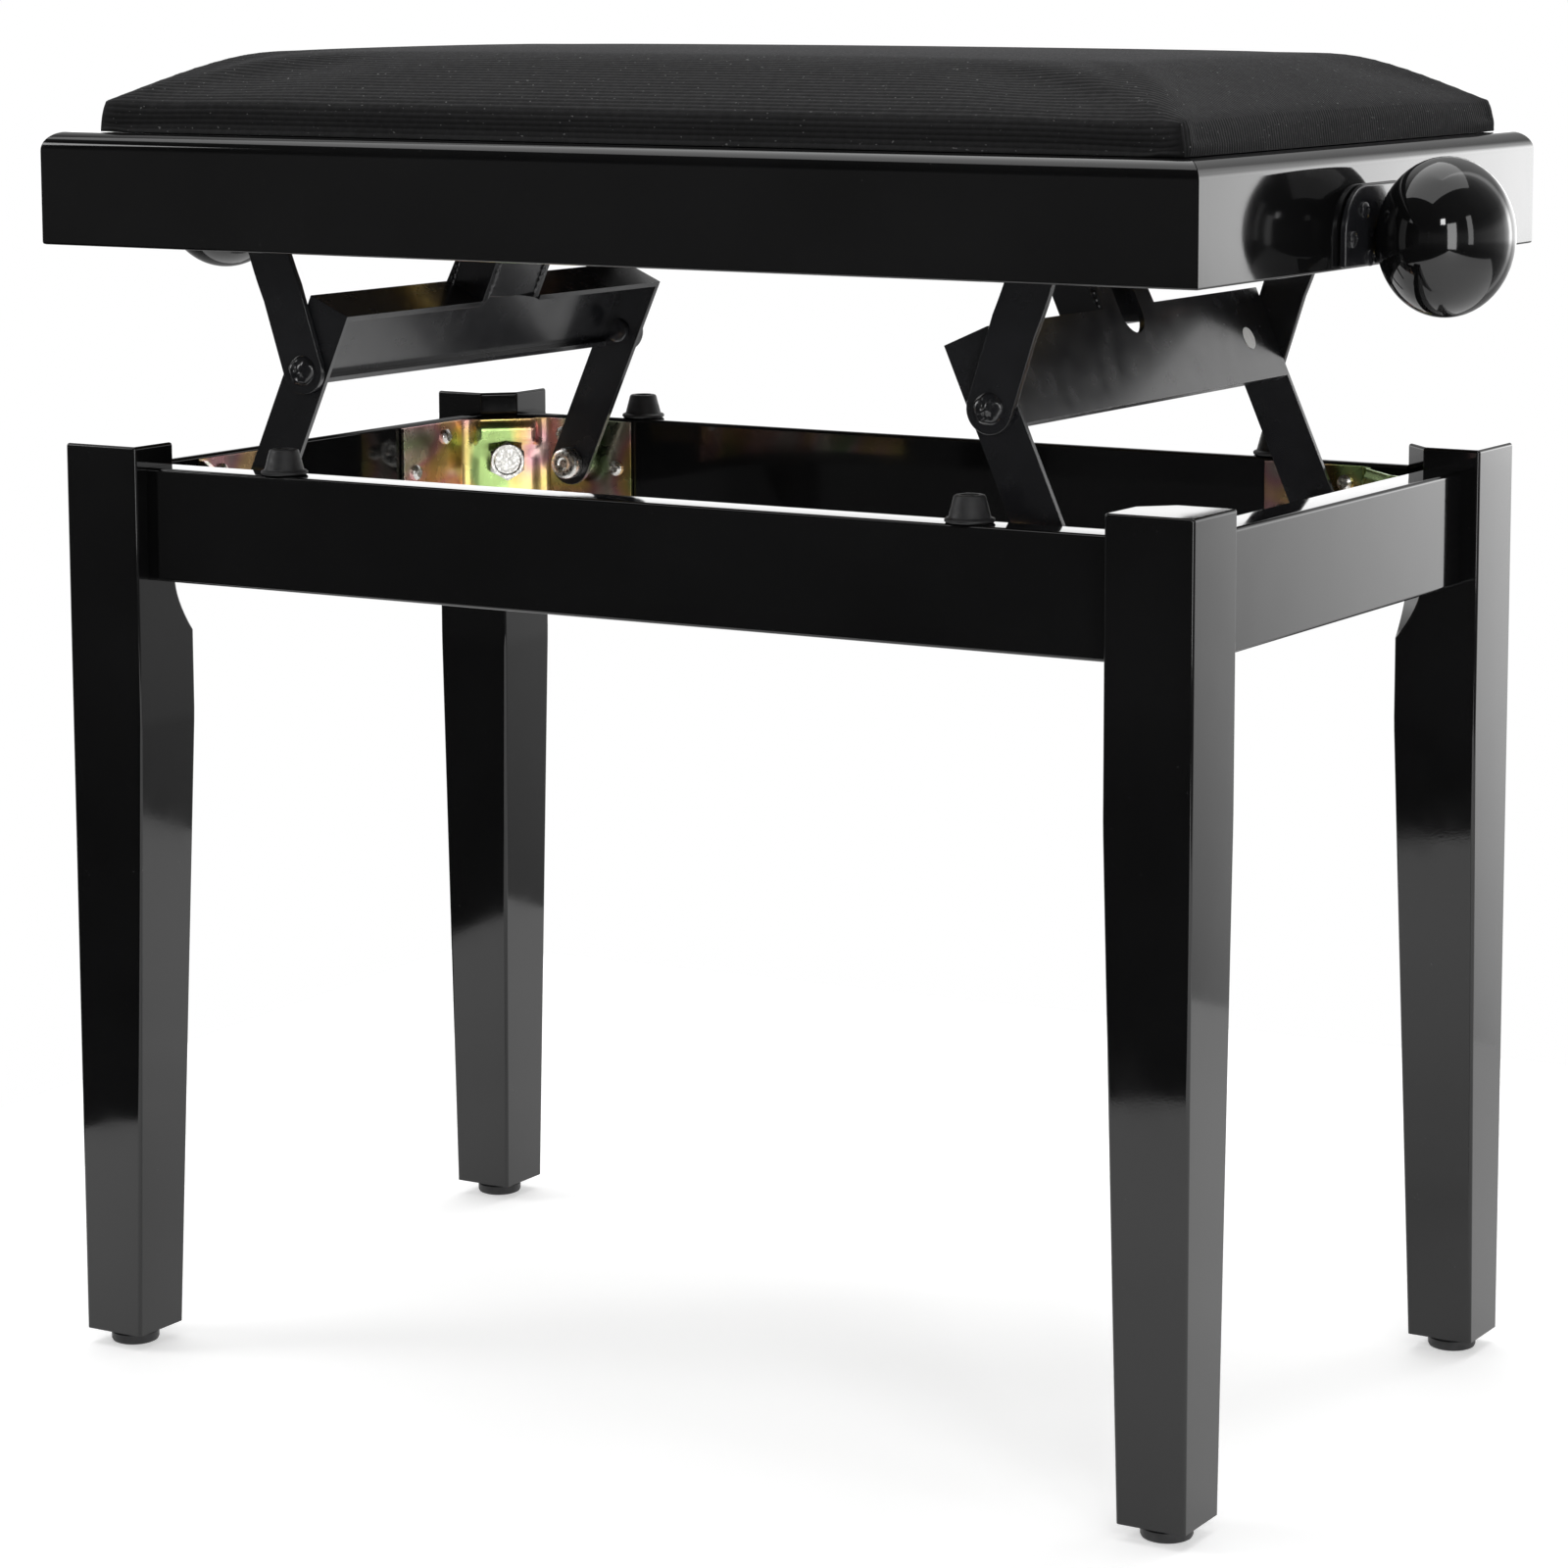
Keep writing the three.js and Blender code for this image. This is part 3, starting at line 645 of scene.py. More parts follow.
def make_links():
    """The pressed pans with the plate inside each clevis and its welds."""
    left = leaning(LOWER, 1)
    upright = transform((0, 0, 0), (0, 1, 0), (0, 0, 1), (1, 0, 0))
    plate = [(-LUG_INNER, PAN_TOP + 1.5), (-6, PAN_TOP + 0.5), (6, PAN_TOP + 0.5), (LUG_INNER, PAN_TOP + 1.5),
             (LUG_INNER, 123), (9, 123), (5, 119), (-5, 119), (-9, 123), (-LUG_INNER, 123)]
    for side in SIDES:
        place = left if side == "left" else HALF_TURN @ left
        copied(f"{side}_link", f"{side}_pan", STEEL, f"{side}_link", 1.1, 3)
        piece(f"{side}_clevis", placed(prism(plate, 7.4, 9.6), upright), STEEL, f"{side}_link", (), place,
              bevel=0.5)
        welds = []
        for end in (-1, 1):
            y = end * (LUG_INNER + 0.4)
            welds.append(weld_bead((9.4, y, PAN_TOP + 1), (9.4, y, 124), 1.5, 2 + end))
            y = end * LUG_OUTER
            welds.append(weld_bead((-8.2, y, PAN_TOP - 7), (-8.2, y, TAB_TOP), 1.3, 5 + end))
        piece(f"{side}_welds", joined(*welds), STEEL, f"{side}_link", (), place, smooth=70)
        if side == "right":
            spot = turned([(0, 0), (4.9, 0), (5, 0.12), (4.9, 0.2), (0, 0.2)], 40)
            facing = transform((-PAN_HALF, -97, 79), (0, 1, 0), (0, 0, -1), (-1, 0, 0))
            piece("blank_sticker", spot, PAPER, "right_link", (), place @ facing)


# ---- arms
def make_arms():
    """Flat arms that bow inwards between the head at the upper pivot and the foot at the rivet."""
    left = leaning(UPPER, -1)
    flat = transform((0, 0, 0), (1, 0, 0), (0, 0, 1), (0, 1, 0))
    half, bow, neck = 10.2, 3.6, 5.0
    outline = [*arc((0, 0), 12, 0, 180, 20), (neck - half, -12)]
    outline += bezier((neck - half, -12), (bow - half, -24), (bow - half, -36), 6)
    outline += [*arc((0, -LINK_HALF), half, 180, 360, 20)]
    outline += bezier((bow + half, -36), (bow + half, -24), (neck + half, -12), 6)
    outline += [(neck + half, -12)]
    for side in SIDES:
        place = left if side == "left" else HALF_TURN @ left
        for end, y in ENDS.items():
            low, high = sorted((y * (ARM_OUTER - ARM_THICKNESS), y * ARM_OUTER))
            if side == "right":
                low, high = -high, -low
            piece(f"{side}_arm.{end}", placed(prism(outline, low, high), flat), STEEL, f"{side}_arms",
                  [f"{side}_arm_{end}"], place, bevel=0.5, segments=3)


# ---- corner brackets, screws and bolts
BRACKET_CORNER = 31.0
BRACKET_SHEET = 1.8
# each screw's distance along its wing, its height, and the wing
BRACKET_SCREWS = ((40, 383.4, "long"), (70.5, 368.7, "long"), (45.3, 384.2, "short"), (69.7, 369.4, "short"))


def bracket_path(corner, reach, radius=5.0, step=1.6):
    """Points and normals along a bracket's plan, from the end of one wing to the end of the other."""
    bends = [Vector((reach, 0.3)), Vector((corner, 0.3)), Vector((0.3, corner)), Vector((0.3, reach))]
    points = [bends[0]]
    for before, at, after in zip(bends, bends[1:], bends[2:]):
        into, out = (at - before).normalized(), (after - at).normalized()
        turn = math.acos(into.dot(out))
        back = radius * math.tan(turn / 2)
        for i in range(5):
            t = i / 4
            points.append((at - into * back).lerp(at, t).lerp(at.lerp(at + out * back, t), t))
    points.append(bends[-1])
    path = []
    for a, b in zip(points, points[1:]):
        count = max(1, round((b - a).length / step))
        path += [a.lerp(b, i / count) for i in range(count)]
    path.append(points[-1])
    normals = []
    for i in range(len(path)):
        along = (path[min(i + 1, len(path) - 1)] - path[max(i - 1, 0)]).normalized()
        normals.append(Vector((along.y, -along.x)))
    return path, normals


def bracket_sheet(low_z, high_z, reach):
    """A bracket's pressed face: two wings and, between them, a web with a pocket open at the top."""
    path, normals = bracket_path(BRACKET_CORNER, reach)
    middle = Vector((BRACKET_CORNER, BRACKET_CORNER)) / 2
    along = Vector((1, -1)).normalized()
    heights = np.linspace(low_z, high_z, 28)
    vertices, faces = [], []
    for point, normal in zip(path, normals):
        s = (point - middle).dot(along)
        in_middle = smoothstep(16.5 - abs(s), 0, 3.0) if normal.x > 0.4 and normal.y > 0.4 else 0.0
        for z in heights:
            pocket = in_middle * smoothstep(z, high_z - 14, high_z - 11)
            pocket *= 1 - 0.55 * smoothstep(z, high_z - 4, high_z - 1)
            dish = 0.8 * in_middle * smoothstep(z, low_z, low_z + 3)
            dish *= 1 - smoothstep(z, high_z - 18, high_z - 15)
            moved = point + normal * (BRACKET_SHEET + 3.4 * pocket - dish)
            vertices.append((moved.x, moved.y, z))
    n = len(heights)
    for i in range(len(path) - 1):
        for k in range(n - 1):
            faces.append((i * n + k, (i + 1) * n + k, (i + 1) * n + k + 1, i * n + k + 1))
    return vertices, faces


def make_brackets():
    """The zinc brackets in the four corners, their wood screws and the leg bolts' heads."""
    for name, x, y in CORNERS:
        low, high = box(f"corner_bracket_{name}")
        corner = (low.x if x < 0 else high.x, low.y if y < 0 else high.y, 0)
        place = transform(corner, (-x, 0, 0), (0, -y, 0), (0, 0, 1))
        made = piece(f"corner_bracket.{name}", bracket_sheet(low.z, high.z, high.x - low.x), ZINC, "base",
                     [f"corner_bracket_{name}"], place, smooth=60, fix=False)
        facing = made.data.polygons[0].normal.dot(Vector((0, -y, 0)))
        add_thickness(made, BRACKET_SHEET, -1.0 if facing > 0 else 1.0)
        add_bevel(made, 0.25, 2, 60)

        screws = []
        for distance, z, wing in BRACKET_SCREWS:
            if wing == "long":
                at = transform((distance, 2.1, z), (1, 0, 0), (0, 0, -1), (0, 1, 0))
            else:
                at = transform((2.1, distance, z), (0, 1, 0), (0, 0, 1), (1, 0, 0))
            screws.append(placed(screw_head(3.7, 2.3), at))
        piece(f"bracket_screws.{name}", joined(*screws), BRIGHT, "base", (), place, smooth=30)

        face = BRACKET_CORNER / math.sqrt(2) + 1.2
        across = Vector((1, 1, 0)).normalized()
        at = Vector((face * across.x, face * across.y, centre(f"leg_bolt_{name}").z))
        bolt = joined(hex_head(9.4, 6.2), turned([(0, -8), (4.9, -8), (4.9, 0.4), (0, 0.4)], 24))
        piece(f"leg_bolt.{name}", bolt, BRIGHT, "base", [f"leg_bolt_{name}"],
              place @ transform(at, (-across.y, across.x, 0), (0, 0, 1), across), smooth=25)


def screw_head(radius, height):
    """A pan head with a cross recess, standing on the plane at 0."""
    profile = [(0, 0), (radius * 0.98, 0), (radius, 0.35)]
    profile += [(radius * math.cos(a), 0.35 + (height - 0.35) * math.sin(a) ** 0.8) for a in (0.3, 0.6, 0.9)]
    flat = [0.56, 0.5, 0.42, 0.34, 0.26, 0.19, 0.12, 0.06]
    profile += [(radius * f, height * (1 - 0.12 * f)) for f in flat] + [(0, height)]

    def recess(angle, r, h):
        if h < height * 0.8 or r > 0.55 * radius:
            return 0.0
        x, y = abs(r * math.cos(angle)), abs(r * math.sin(angle))
        inside = smoothstep(0.15 * radius - min(x, y), -0.1, 0.12) * smoothstep(0.54 * radius - r, 0, 0.3)
        return -1.5 * inside * (1 - 0.35 * r / radius)

    return turned(profile, 48, recess)


def hex_head(radius, height):
    """A hexagon head with a chamfered rim and a shallow dish."""
    flat = radius * math.cos(math.pi / 6)
    steps = 72
    rows = []
    # each row's share of the flat's distance and its height; at 1 it follows the hexagon
    for scale, z in ((1, 0), (1, height - 1.5), (0.97, height), (0.82, height), (0.74, height - 0.5),
                     (0.3, height - 0.5)):
        row = []
        for a in angles_round(steps):
            edge = flat / math.cos((a + math.pi / 6) % (math.pi / 3) - math.pi / 6)
            if scale == 1:
                drop = (edge - flat) * 0.58
                row.append((edge * math.cos(a), edge * math.sin(a), (height - drop - 0.25) if z else 0.0))
            else:
                row.append((flat * scale * math.cos(a), flat * scale * math.sin(a), z))
        rows.append(row)
    return loft(rows)


# ---- seat frame
def panel_outline(thickness, bottom, top):
    """Across a panel: its outer face at 0, with a large round at the top outside."""
    round_over = 8.0
    outline = [(1.0, bottom), (thickness, bottom), (thickness, top)]
    outline += [(round_over + 1.2, top), (round_over + 0.5, top)]
    outline += arc((round_over, top - round_over), round_over, 90, 180, 12)
    outline += [(0, bottom + 1.0), (0.3, bottom + 0.3)]
    return outline


def make_seat_frame():
    """Four mitred panels round the plywood board, and the hangers under it."""
    for node, turn in (("front", 0), ("right", 90), ("back", 180), ("left", 270)):
        low, high = box(f"seat_panel_{node}")
        along = 0 if node in ENDS else 1
        half, thickness = (high - low)[along] / 2, (high - low)[1 - along]
        outline = panel_outline(thickness, low.z, high.z)
        rows = [[(s * (half - depth), depth, z) for depth, z in outline] for s in (-1, -0.9, 0.9, 1)]
        outer_face = {"front": (0, low.y, 0), "right": (high.x, 0, 0), "back": (0, high.y, 0),
                      "left": (low.x, 0, 0)}[node]
        place = Matrix.Translation(outer_face) @ Matrix.Rotation(math.radians(turn), 4, "Z")
        piece(f"seat_panel.{node}", loft(rows), LACQUER, "seat", [f"seat_panel_{node}"], place, smooth=46,
              flatten=True)
    copied("seat_board", "seat_board.plywood", PLYWOOD, "seat", 0.6)
    for name, _, _ in CORNERS:
        copied(f"hanger_{name}", f"hanger.{name}", ZINC, "seat", 0.45)


# ---- spindle, bearing plates and knobs
PLATE_SCREWS = ((22, 11), (33, 0), (16, -8))


def threaded_rod(length, radius, thread_from, thread_to):
    """The spindle about its axis: plain in the middle and near its ends, threaded where the nuts run."""
    pitch, depth, around = 4.0, 0.9, 20
    marks = np.arange(thread_from, thread_to + 0.01, pitch / 8)
    stations = [side * s for side in (-1, 1) for s in marks]
    stations += [-length, length, -thread_to - 2, thread_to + 2, 2 - thread_from, thread_from - 2]
    rows = []
    for s in sorted(stations):
        threaded = thread_from <= abs(s) <= thread_to
        row = []
        for a in angles_round(around):
            r = radius
            if threaded:
                phase = (abs(s) / pitch + math.copysign(1, s) * a / (2 * math.pi)) % 1
                fade = min(1, (abs(s) - thread_from) / 4, (thread_to - abs(s)) / 4)
                r -= depth * max(0.0, fade) * (0.5 - 0.5 * math.cos(2 * math.pi * phase)) ** 0.7
            row.append((r * math.cos(a), r * math.sin(a), s))
        rows.append(row)
    return loft(rows)


def make_spindle():
    at = centre("spindle")
    along = transform(at, (0, 1, 0), (0, 0, 1), (1, 0, 0))
    plate = box("bearing_plate_right")[1].x
    piece("spindle.threaded", threaded_rod(plate + 1, 6.8, 44, 158), BRASS, "spindle", ["spindle"], along,
          smooth=40)
    half, steps = 27.0, 26
    for side, x in SIDES.items():
        node = f"knob_{side}"
        low, high = box(node)
        outwards = transform((0, 0, at.z), (0, x, 0), (0, 0, 1), (x, 0, 0))
        face = plate + 1.3
        radius, middle = (high.z - low.z) / 2, span(node, 0)[1] - half
        start = math.asin((middle - face) / half)
        profile = [(0, face + 0.5), (6.6, face + 0.5), (6.9, face + 0.1), (7.4, face)]
        for k in range(steps + 1):
            a = -start + (start + math.pi / 2) * k / steps
            profile.append((0 if k == steps else radius * math.cos(a), middle + half * math.sin(a)))
        piece(f"knob.{side}", turned(profile, 96), LACQUER, "spindle", [node], outwards, smooth=50)
        collar = [(0, face - 3), (6.2, face - 3), (6.2, face - 0.6), (5.8, face + 0.6), (0, face + 0.6)]
        piece(f"spindle_collar.{side}", turned(collar, 40), BRASS, "spindle", (), outwards)
        make_bearing_plate(side, outwards)


def make_bearing_plate(side, outwards):
    node, corner = f"bearing_plate_{side}", 20
    low, high = box(node)
    half = (high.y - low.y) / 2
    inner, outer = span(node, 0)
    rise = high.z - centre("spindle").z
    fall = low.z - centre("spindle").z
    outline = [(-half, fall), (half, fall), *arc((half - corner, rise - corner), corner, 0, 90, 12),
               *arc((corner - half, rise - corner), corner, 90, 180, 12)]
    piece(f"bearing_plate.{side}", prism(outline, inner, outer), STEEL, "seat", [node], outwards, bevel=0.9,
          segments=3)
    screws = []
    for across, up in PLATE_SCREWS:
        for flip in (-1, 1):
            screws.append(placed(screw_head(3.4, 1.9), Matrix.Translation((flip * across, up, outer))))
    piece(f"plate_screws.{side}", joined(*screws), STEEL, "seat", (), outwards, smooth=30)


# ---- cushion
OVER_X, UNDER_Y = 0.8, 0.6  # what relaxing takes off the ends, and adds to the long sides
RIB_DEPTH = 0.30
SIDE_HEIGHT = 14.5
SLOPE = 56.0
SHOULDER = 30.5
CROWN = 33.5
COLUMNS, ROWS, RINGS = 96, 56, 4
FINER_ROWS = 10  # fine rows to each coarse one
FINE_RINGS = 24
SAMPLES = 4  # fine rows or rings to each rib
CORNER_ROUND = 4.0
SEAM_BLEND = 3.0  # how softly the slopes of two sides meet
PLEAT_REACH, PLEAT = 11, 1.3
CAP = 4.0  # furthest the pressure may move a point
CLOTH_FRAMES = 20


def cushion_height(inwards):
    """Height above the seat frame at a distance in from the cushion's edge."""
    t = np.clip(inwards / SLOPE, 0, 1)
    return SIDE_HEIGHT + (SHOULDER - SIDE_HEIGHT) * (1 - (1 - t) ** 1.9)


def cushion_coarse(half_x, half_y, base_z):
    """The top of the cushion before it swells, as a grid of points."""
    u = np.linspace(-1, 1, COLUMNS + 1)
    v = np.linspace(-1, 1, ROWS + 1)
    x, y = np.meshgrid(u * half_x, v * half_y)
    flat_x, flat_y = half_x - CORNER_ROUND, half_y - CORNER_ROUND
    over_x = np.clip((np.abs(x) - flat_x) / CORNER_ROUND, 0, 1)
    over_y = np.clip((np.abs(y) - flat_y) / CORNER_ROUND, 0, 1)
    length = np.hypot(over_x, over_y)
    scale = np.where(length > 1e-6, np.maximum(over_x, over_y) / np.maximum(length, 1e-6), 1)
    corner = (over_x > 0) & (over_y > 0)
    x = np.where(corner, np.sign(x) * (flat_x + CORNER_ROUND * over_x * scale), x)
    y = np.where(corner, np.sign(y) * (flat_y + CORNER_ROUND * over_y * scale), y)
    rise_x = cushion_height(half_x - np.abs(x))
    rise_y = cushion_height(half_y - np.abs(y))
    rise = -SEAM_BLEND * np.log(np.exp(-rise_x / SEAM_BLEND) + np.exp(-rise_y / SEAM_BLEND))
    middle = np.clip(1 - (x / half_x) ** 2, 0, 1) * np.clip(1 - (y / half_y) ** 2, 0, 1)
    rise = rise + (CROWN - SHOULDER) * middle ** 0.6
    edge = np.maximum(np.abs(x) / half_x, np.abs(y) / half_y) > 0.9999
    rise = np.where(edge, SIDE_HEIGHT, rise)
    return np.stack([x, y, base_z + rise], -1)


def edge_loop(rows, columns):
    """Grid indices round the top grid's edge, anticlockwise from its front left corner."""
    loop = [(0, c) for c in range(columns)] + [(r, columns - 1) for r in range(rows)]
    loop += [(rows - 1, c) for c in range(columns - 1, -1, -1)] + [(r, 0) for r in range(rows - 1, -1, -1)]
    clean = []
    for item in loop:
        if not clean or clean[-1] != item:
            clean.append(item)
    return clean[:-1] if clean[0] == clean[-1] else clean


def cushion_faces(rows, columns, rings):
    """Quads of the top grid, then of the skirt's rings, and last the underside as one face."""
    faces = []
    for r in range(rows - 1):
        for c in range(columns - 1):
            a = r * columns + c
            faces.append((a, a + 1, a + columns + 1, a + columns))
    loop = edge_loop(rows, columns)
    count = len(loop)
    first = rows * columns
    above = [r * columns + c for r, c in loop]
    for ring in range(rings):
        below = [first + ring * count + i for i in range(count)]
        for i in range(count):
            j = (i + 1) % count
            faces.append((below[i], below[j], above[j], above[i]))
        above = below
    faces.append(tuple(reversed(above)))
    return faces


def cushion_skirt(edge, base_z, rings):
    """Rings from the top's edge down to the frame, bulging a little."""
    made = []
    for ring in range(1, rings + 1):
        t = ring / rings
        point = edge.copy()
        point[:, 2] = edge[:, 2] + (base_z - edge[:, 2]) * t
        bulge = 0.9 * math.sin(math.pi * min(1, t * 1.1)) - 1.4 * t ** 4
        point[:, :2] += outward_of(edge) * bulge
        made.append(point)
    return made


def outward_of(edge):
    """Horizontal outward directions along the closed edge."""
    ahead, behind = np.roll(edge, -1, 0), np.roll(edge, 1, 0)
    along = (ahead - behind)[:, :2]
    along /= np.maximum(np.linalg.norm(along, axis=1, keepdims=True), 1e-9)
    return np.stack([along[:, 1], -along[:, 0]], -1)


def swell(points, faces, pinned):
    """Blows the cover up a little with cloth pressure, and caps how far a point moves."""
    cover = added("cushion_cloth", mesh_of("cushion_cloth", points, faces))
    group = cover.vertex_groups.new(name="pinned")
    group.add([int(i) for i in pinned], 1.0, "REPLACE")
    cloth = cover.modifiers.new("Cloth", "CLOTH")
    cloth.settings.quality = 6
    cloth.settings.mass = 0.3
    cloth.settings.use_pressure = True
    cloth.settings.uniform_pressure_force = 4.0
    cloth.settings.vertex_group_mass = "pinned"
    cloth.settings.effector_weights.gravity = 0.0
    cloth.collision_settings.use_collision = False
    cloth.point_cache.frame_start, cloth.point_cache.frame_end = 1, CLOTH_FRAMES
    for number in range(1, CLOTH_FRAMES + 1):
        scene.frame_set(number)
    evaluated = cover.evaluated_get(bpy.context.evaluated_depsgraph_get())
    swollen = np.array([v.co for v in evaluated.data.vertices]) / MM
    bpy.data.objects.remove(cover)
    scene.frame_set(1)
    moved = swollen - points
    length = np.linalg.norm(moved, axis=1, keepdims=True)
    share = np.where(length > 1e-9, CAP * np.tanh(length / CAP) / np.maximum(length, 1e-9), 0)
    return points + moved * share


def relaxed(points, faces, fixed):
    """Rounds the shoulders: every free point moves halfway to the middle of its neighbours."""
    total, number = np.zeros_like(points), np.zeros(len(points))
    pairs = {tuple(sorted(pair)) for face in faces[:-1] for pair in zip(face, face[1:] + face[:1])}
    first, second = np.array(sorted(pairs)).T
    for here, there in ((first, second), (second, first)):
        np.add.at(number, here, 1)
        np.add.at(total, here, points[there])
    free = np.ones(len(points), bool)
    free[fixed] = False
    return np.where(free[:, None], (points + total / number[:, None]) / 2, points)


def finer(values, factor):
    """Catmull-Rom interpolation along the first axis."""
    count = len(values)
    padded = np.concatenate([2 * values[:1] - values[1:2], values, 2 * values[-1:] - values[-2:-1]])
    made = []
    for i in range(count - 1):
        p0, p1, p2, p3 = padded[i], padded[i + 1], padded[i + 2], padded[i + 3]
        for k in range(factor):
            t = k / factor
            made.append(0.5 * (2 * p1 + (p2 - p0) * t + (2 * p0 - 5 * p1 + 4 * p2 - p3) * t * t
                               + (3 * p1 - p0 - 3 * p2 + p3) * t ** 3))
    made.append(values[-1])
    return np.array(made)


def rib_profile(phase):
    """0 in a valley, 1 on a rib's crest."""
    return np.abs(np.sin(np.pi * phase)) ** 0.75


def cushion_form(half_x, half_y, base_z, loop):
    """The cushion's coarse top and the rings of its skirt, blown up and relaxed."""
    rows, columns = ROWS + 1, COLUMNS + 1
    top = cushion_coarse(half_x, half_y, base_z)
    rings = cushion_skirt(np.array([top[r, c] for r, c in loop]), base_z, RINGS)
    points = np.concatenate([top.reshape(-1, 3), *rings])
    faces = cushion_faces(rows, columns, RINGS)
    points = swell(points, faces, range(len(points) - len(loop), len(points)))
    points = relaxed(points, faces, slice(len(points) - len(loop), None))
    top = points[: rows * columns].reshape(rows, columns, 3)
    return top, points[rows * columns:].reshape(RINGS, len(loop), 3)


def refined(top, rings, loop, fine_loop):
    """The form with rows and rings enough for the ribs: the fine top, and strips down the skirt."""
    rows, columns = ROWS + 1, COLUMNS + 1
    coarse_at = {key: i for i, key in enumerate(loop)}
    strips = np.concatenate([np.array([top[r, c] for r, c in loop])[None], rings])
    fine_strips = np.zeros((RINGS + 1, len(fine_loop), 3))
    ends = {}
    for c in (0, columns - 1):
        ends[c] = finer(np.stack([strips[:, coarse_at[(r, c)]] for r in range(rows)]), FINER_ROWS)
    for i, (r, c) in enumerate(fine_loop):
        coarse = coarse_at.get((0 if r == 0 else rows - 1, c))
        fine_strips[:, i] = ends[c][r] if c in ends else strips[:, coarse]
    return finer(top, FINER_ROWS), finer(fine_strips, FINE_RINGS // RINGS)


def ribs_and_pleats(fine_rows, fine_loop, half_x):
    """At every point: how near it is to a rib's crest, and how far ribs and pleats lift it."""
    columns = COLUMNS + 1
    rib_of_row = rib_profile(np.arange(fine_rows) / SAMPLES)
    rib_top = np.repeat(rib_of_row[:, None], columns, 1)
    rib_skirt, pleat = np.zeros((2, FINE_RINGS, len(fine_loop)))
    rings_down = np.arange(1, FINE_RINGS + 1)
    for i, (r, c) in enumerate(fine_loop):
        if c in (0, columns - 1):
            rib_skirt[:, i] = rib_of_row[r]
        else:
            rib_skirt[:, i] = rib_profile(rings_down / SAMPLES)
            from_corner = min(c, columns - 1 - c) * 2 * half_x / (columns - 1)
            pleat[:, i] = PLEAT * (from_corner < PLEAT_REACH) * np.clip(rings_down / FINE_RINGS * 1.6, 0, 1)
    rib = np.concatenate([rib_top.ravel(), rib_skirt.ravel()])
    return rib, RIB_DEPTH * (rib - 0.6) + np.concatenate([np.zeros(rib_top.size), pleat.ravel()])


def make_cushion():
    low, high = box("cushion")
    half_x, half_y = (high.x - low.x) / 2 + OVER_X, (high.y - low.y) / 2 - UNDER_Y
    base_z, shift = low.z, (low.x + high.x) / 2
    fine_rows = ROWS * FINER_ROWS + 1
    loop, fine_loop = edge_loop(ROWS + 1, COLUMNS + 1), edge_loop(fine_rows, COLUMNS + 1)
    top, rings = cushion_form(half_x, half_y, base_z, loop)
    fine_top, fine_strips = refined(top, rings, loop, fine_loop)
    rib, lift = ribs_and_pleats(fine_rows, fine_loop, half_x)
    points = np.concatenate([fine_top.reshape(-1, 3), fine_strips[1:].reshape(-1, 3)])

    mesh = mesh_of("cushion_cover", points, cushion_faces(fine_rows, COLUMNS + 1, FINE_RINGS))
    mesh.update()
    normals = np.zeros(len(points) * 3, np.float32)
    mesh.vertex_normals.foreach_get("vector", normals)
    bottom = np.zeros(len(points), bool)
    bottom[-len(fine_loop):] = True
    moved = points + normals.reshape(-1, 3) * np.where(bottom, 0, lift)[:, None]
    moved[bottom, 2] = base_z
    moved[:, 2] = np.maximum(moved[:, 2], base_z)
    moved[:, 0] += shift
    mesh.vertices.foreach_set("co", (moved * MM).astype(np.float32).ravel())
    attribute = mesh.attributes.new("rib", "FLOAT", "POINT")
    attribute.data.foreach_set("value", rib.astype(np.float32))
    mesh.update()
    cushion = finished("cushion.corduroy", mesh, CORDUROY, "seat", ["cushion"], smooth=75)


# ---- stage
WORLD_LEVEL = 6.1
WORLD_BRIGHTEST = 5
# the studio's brightness by azimuth in degrees, and by height from 0 straight down to 1 straight up
BY_AZIMUTH = [(-180, 0.10), (-120, 0.14), (-85, 0.5), (-50, 1.7), (12, 1.9), (17, 4.8), (21.5, 4.8),
              (26, 2.1), (38, 1.0), (60, 0.5), (95, 0.22), (180, 0.10)]
BY_HEIGHT = [(0.30, 0.15), (0.38, 0.2), (0.445, 0.5), (0.47, 1.0), (0.545, 1.0), (0.60, 0.35), (0.66, 0.2),
             (0.9, 0.35)]


def make_camera():
    """The photograph's view: a long lens from the front right, a little above the seat."""
    data = bpy.data.cameras.new("camera")
    camera = added("camera", data)
    data.sensor_width = 36.0
    data.lens = 104.17
    data.shift_x, data.shift_y = -0.0625, -0.125
    data.clip_start, data.clip_end = 0.05, 60
    camera.location = (1.009, -1.6725, 0.6095)
    camera.rotation_euler = (math.radians(90 - 7.9), 0, math.radians(29.93))
    scene.camera = camera


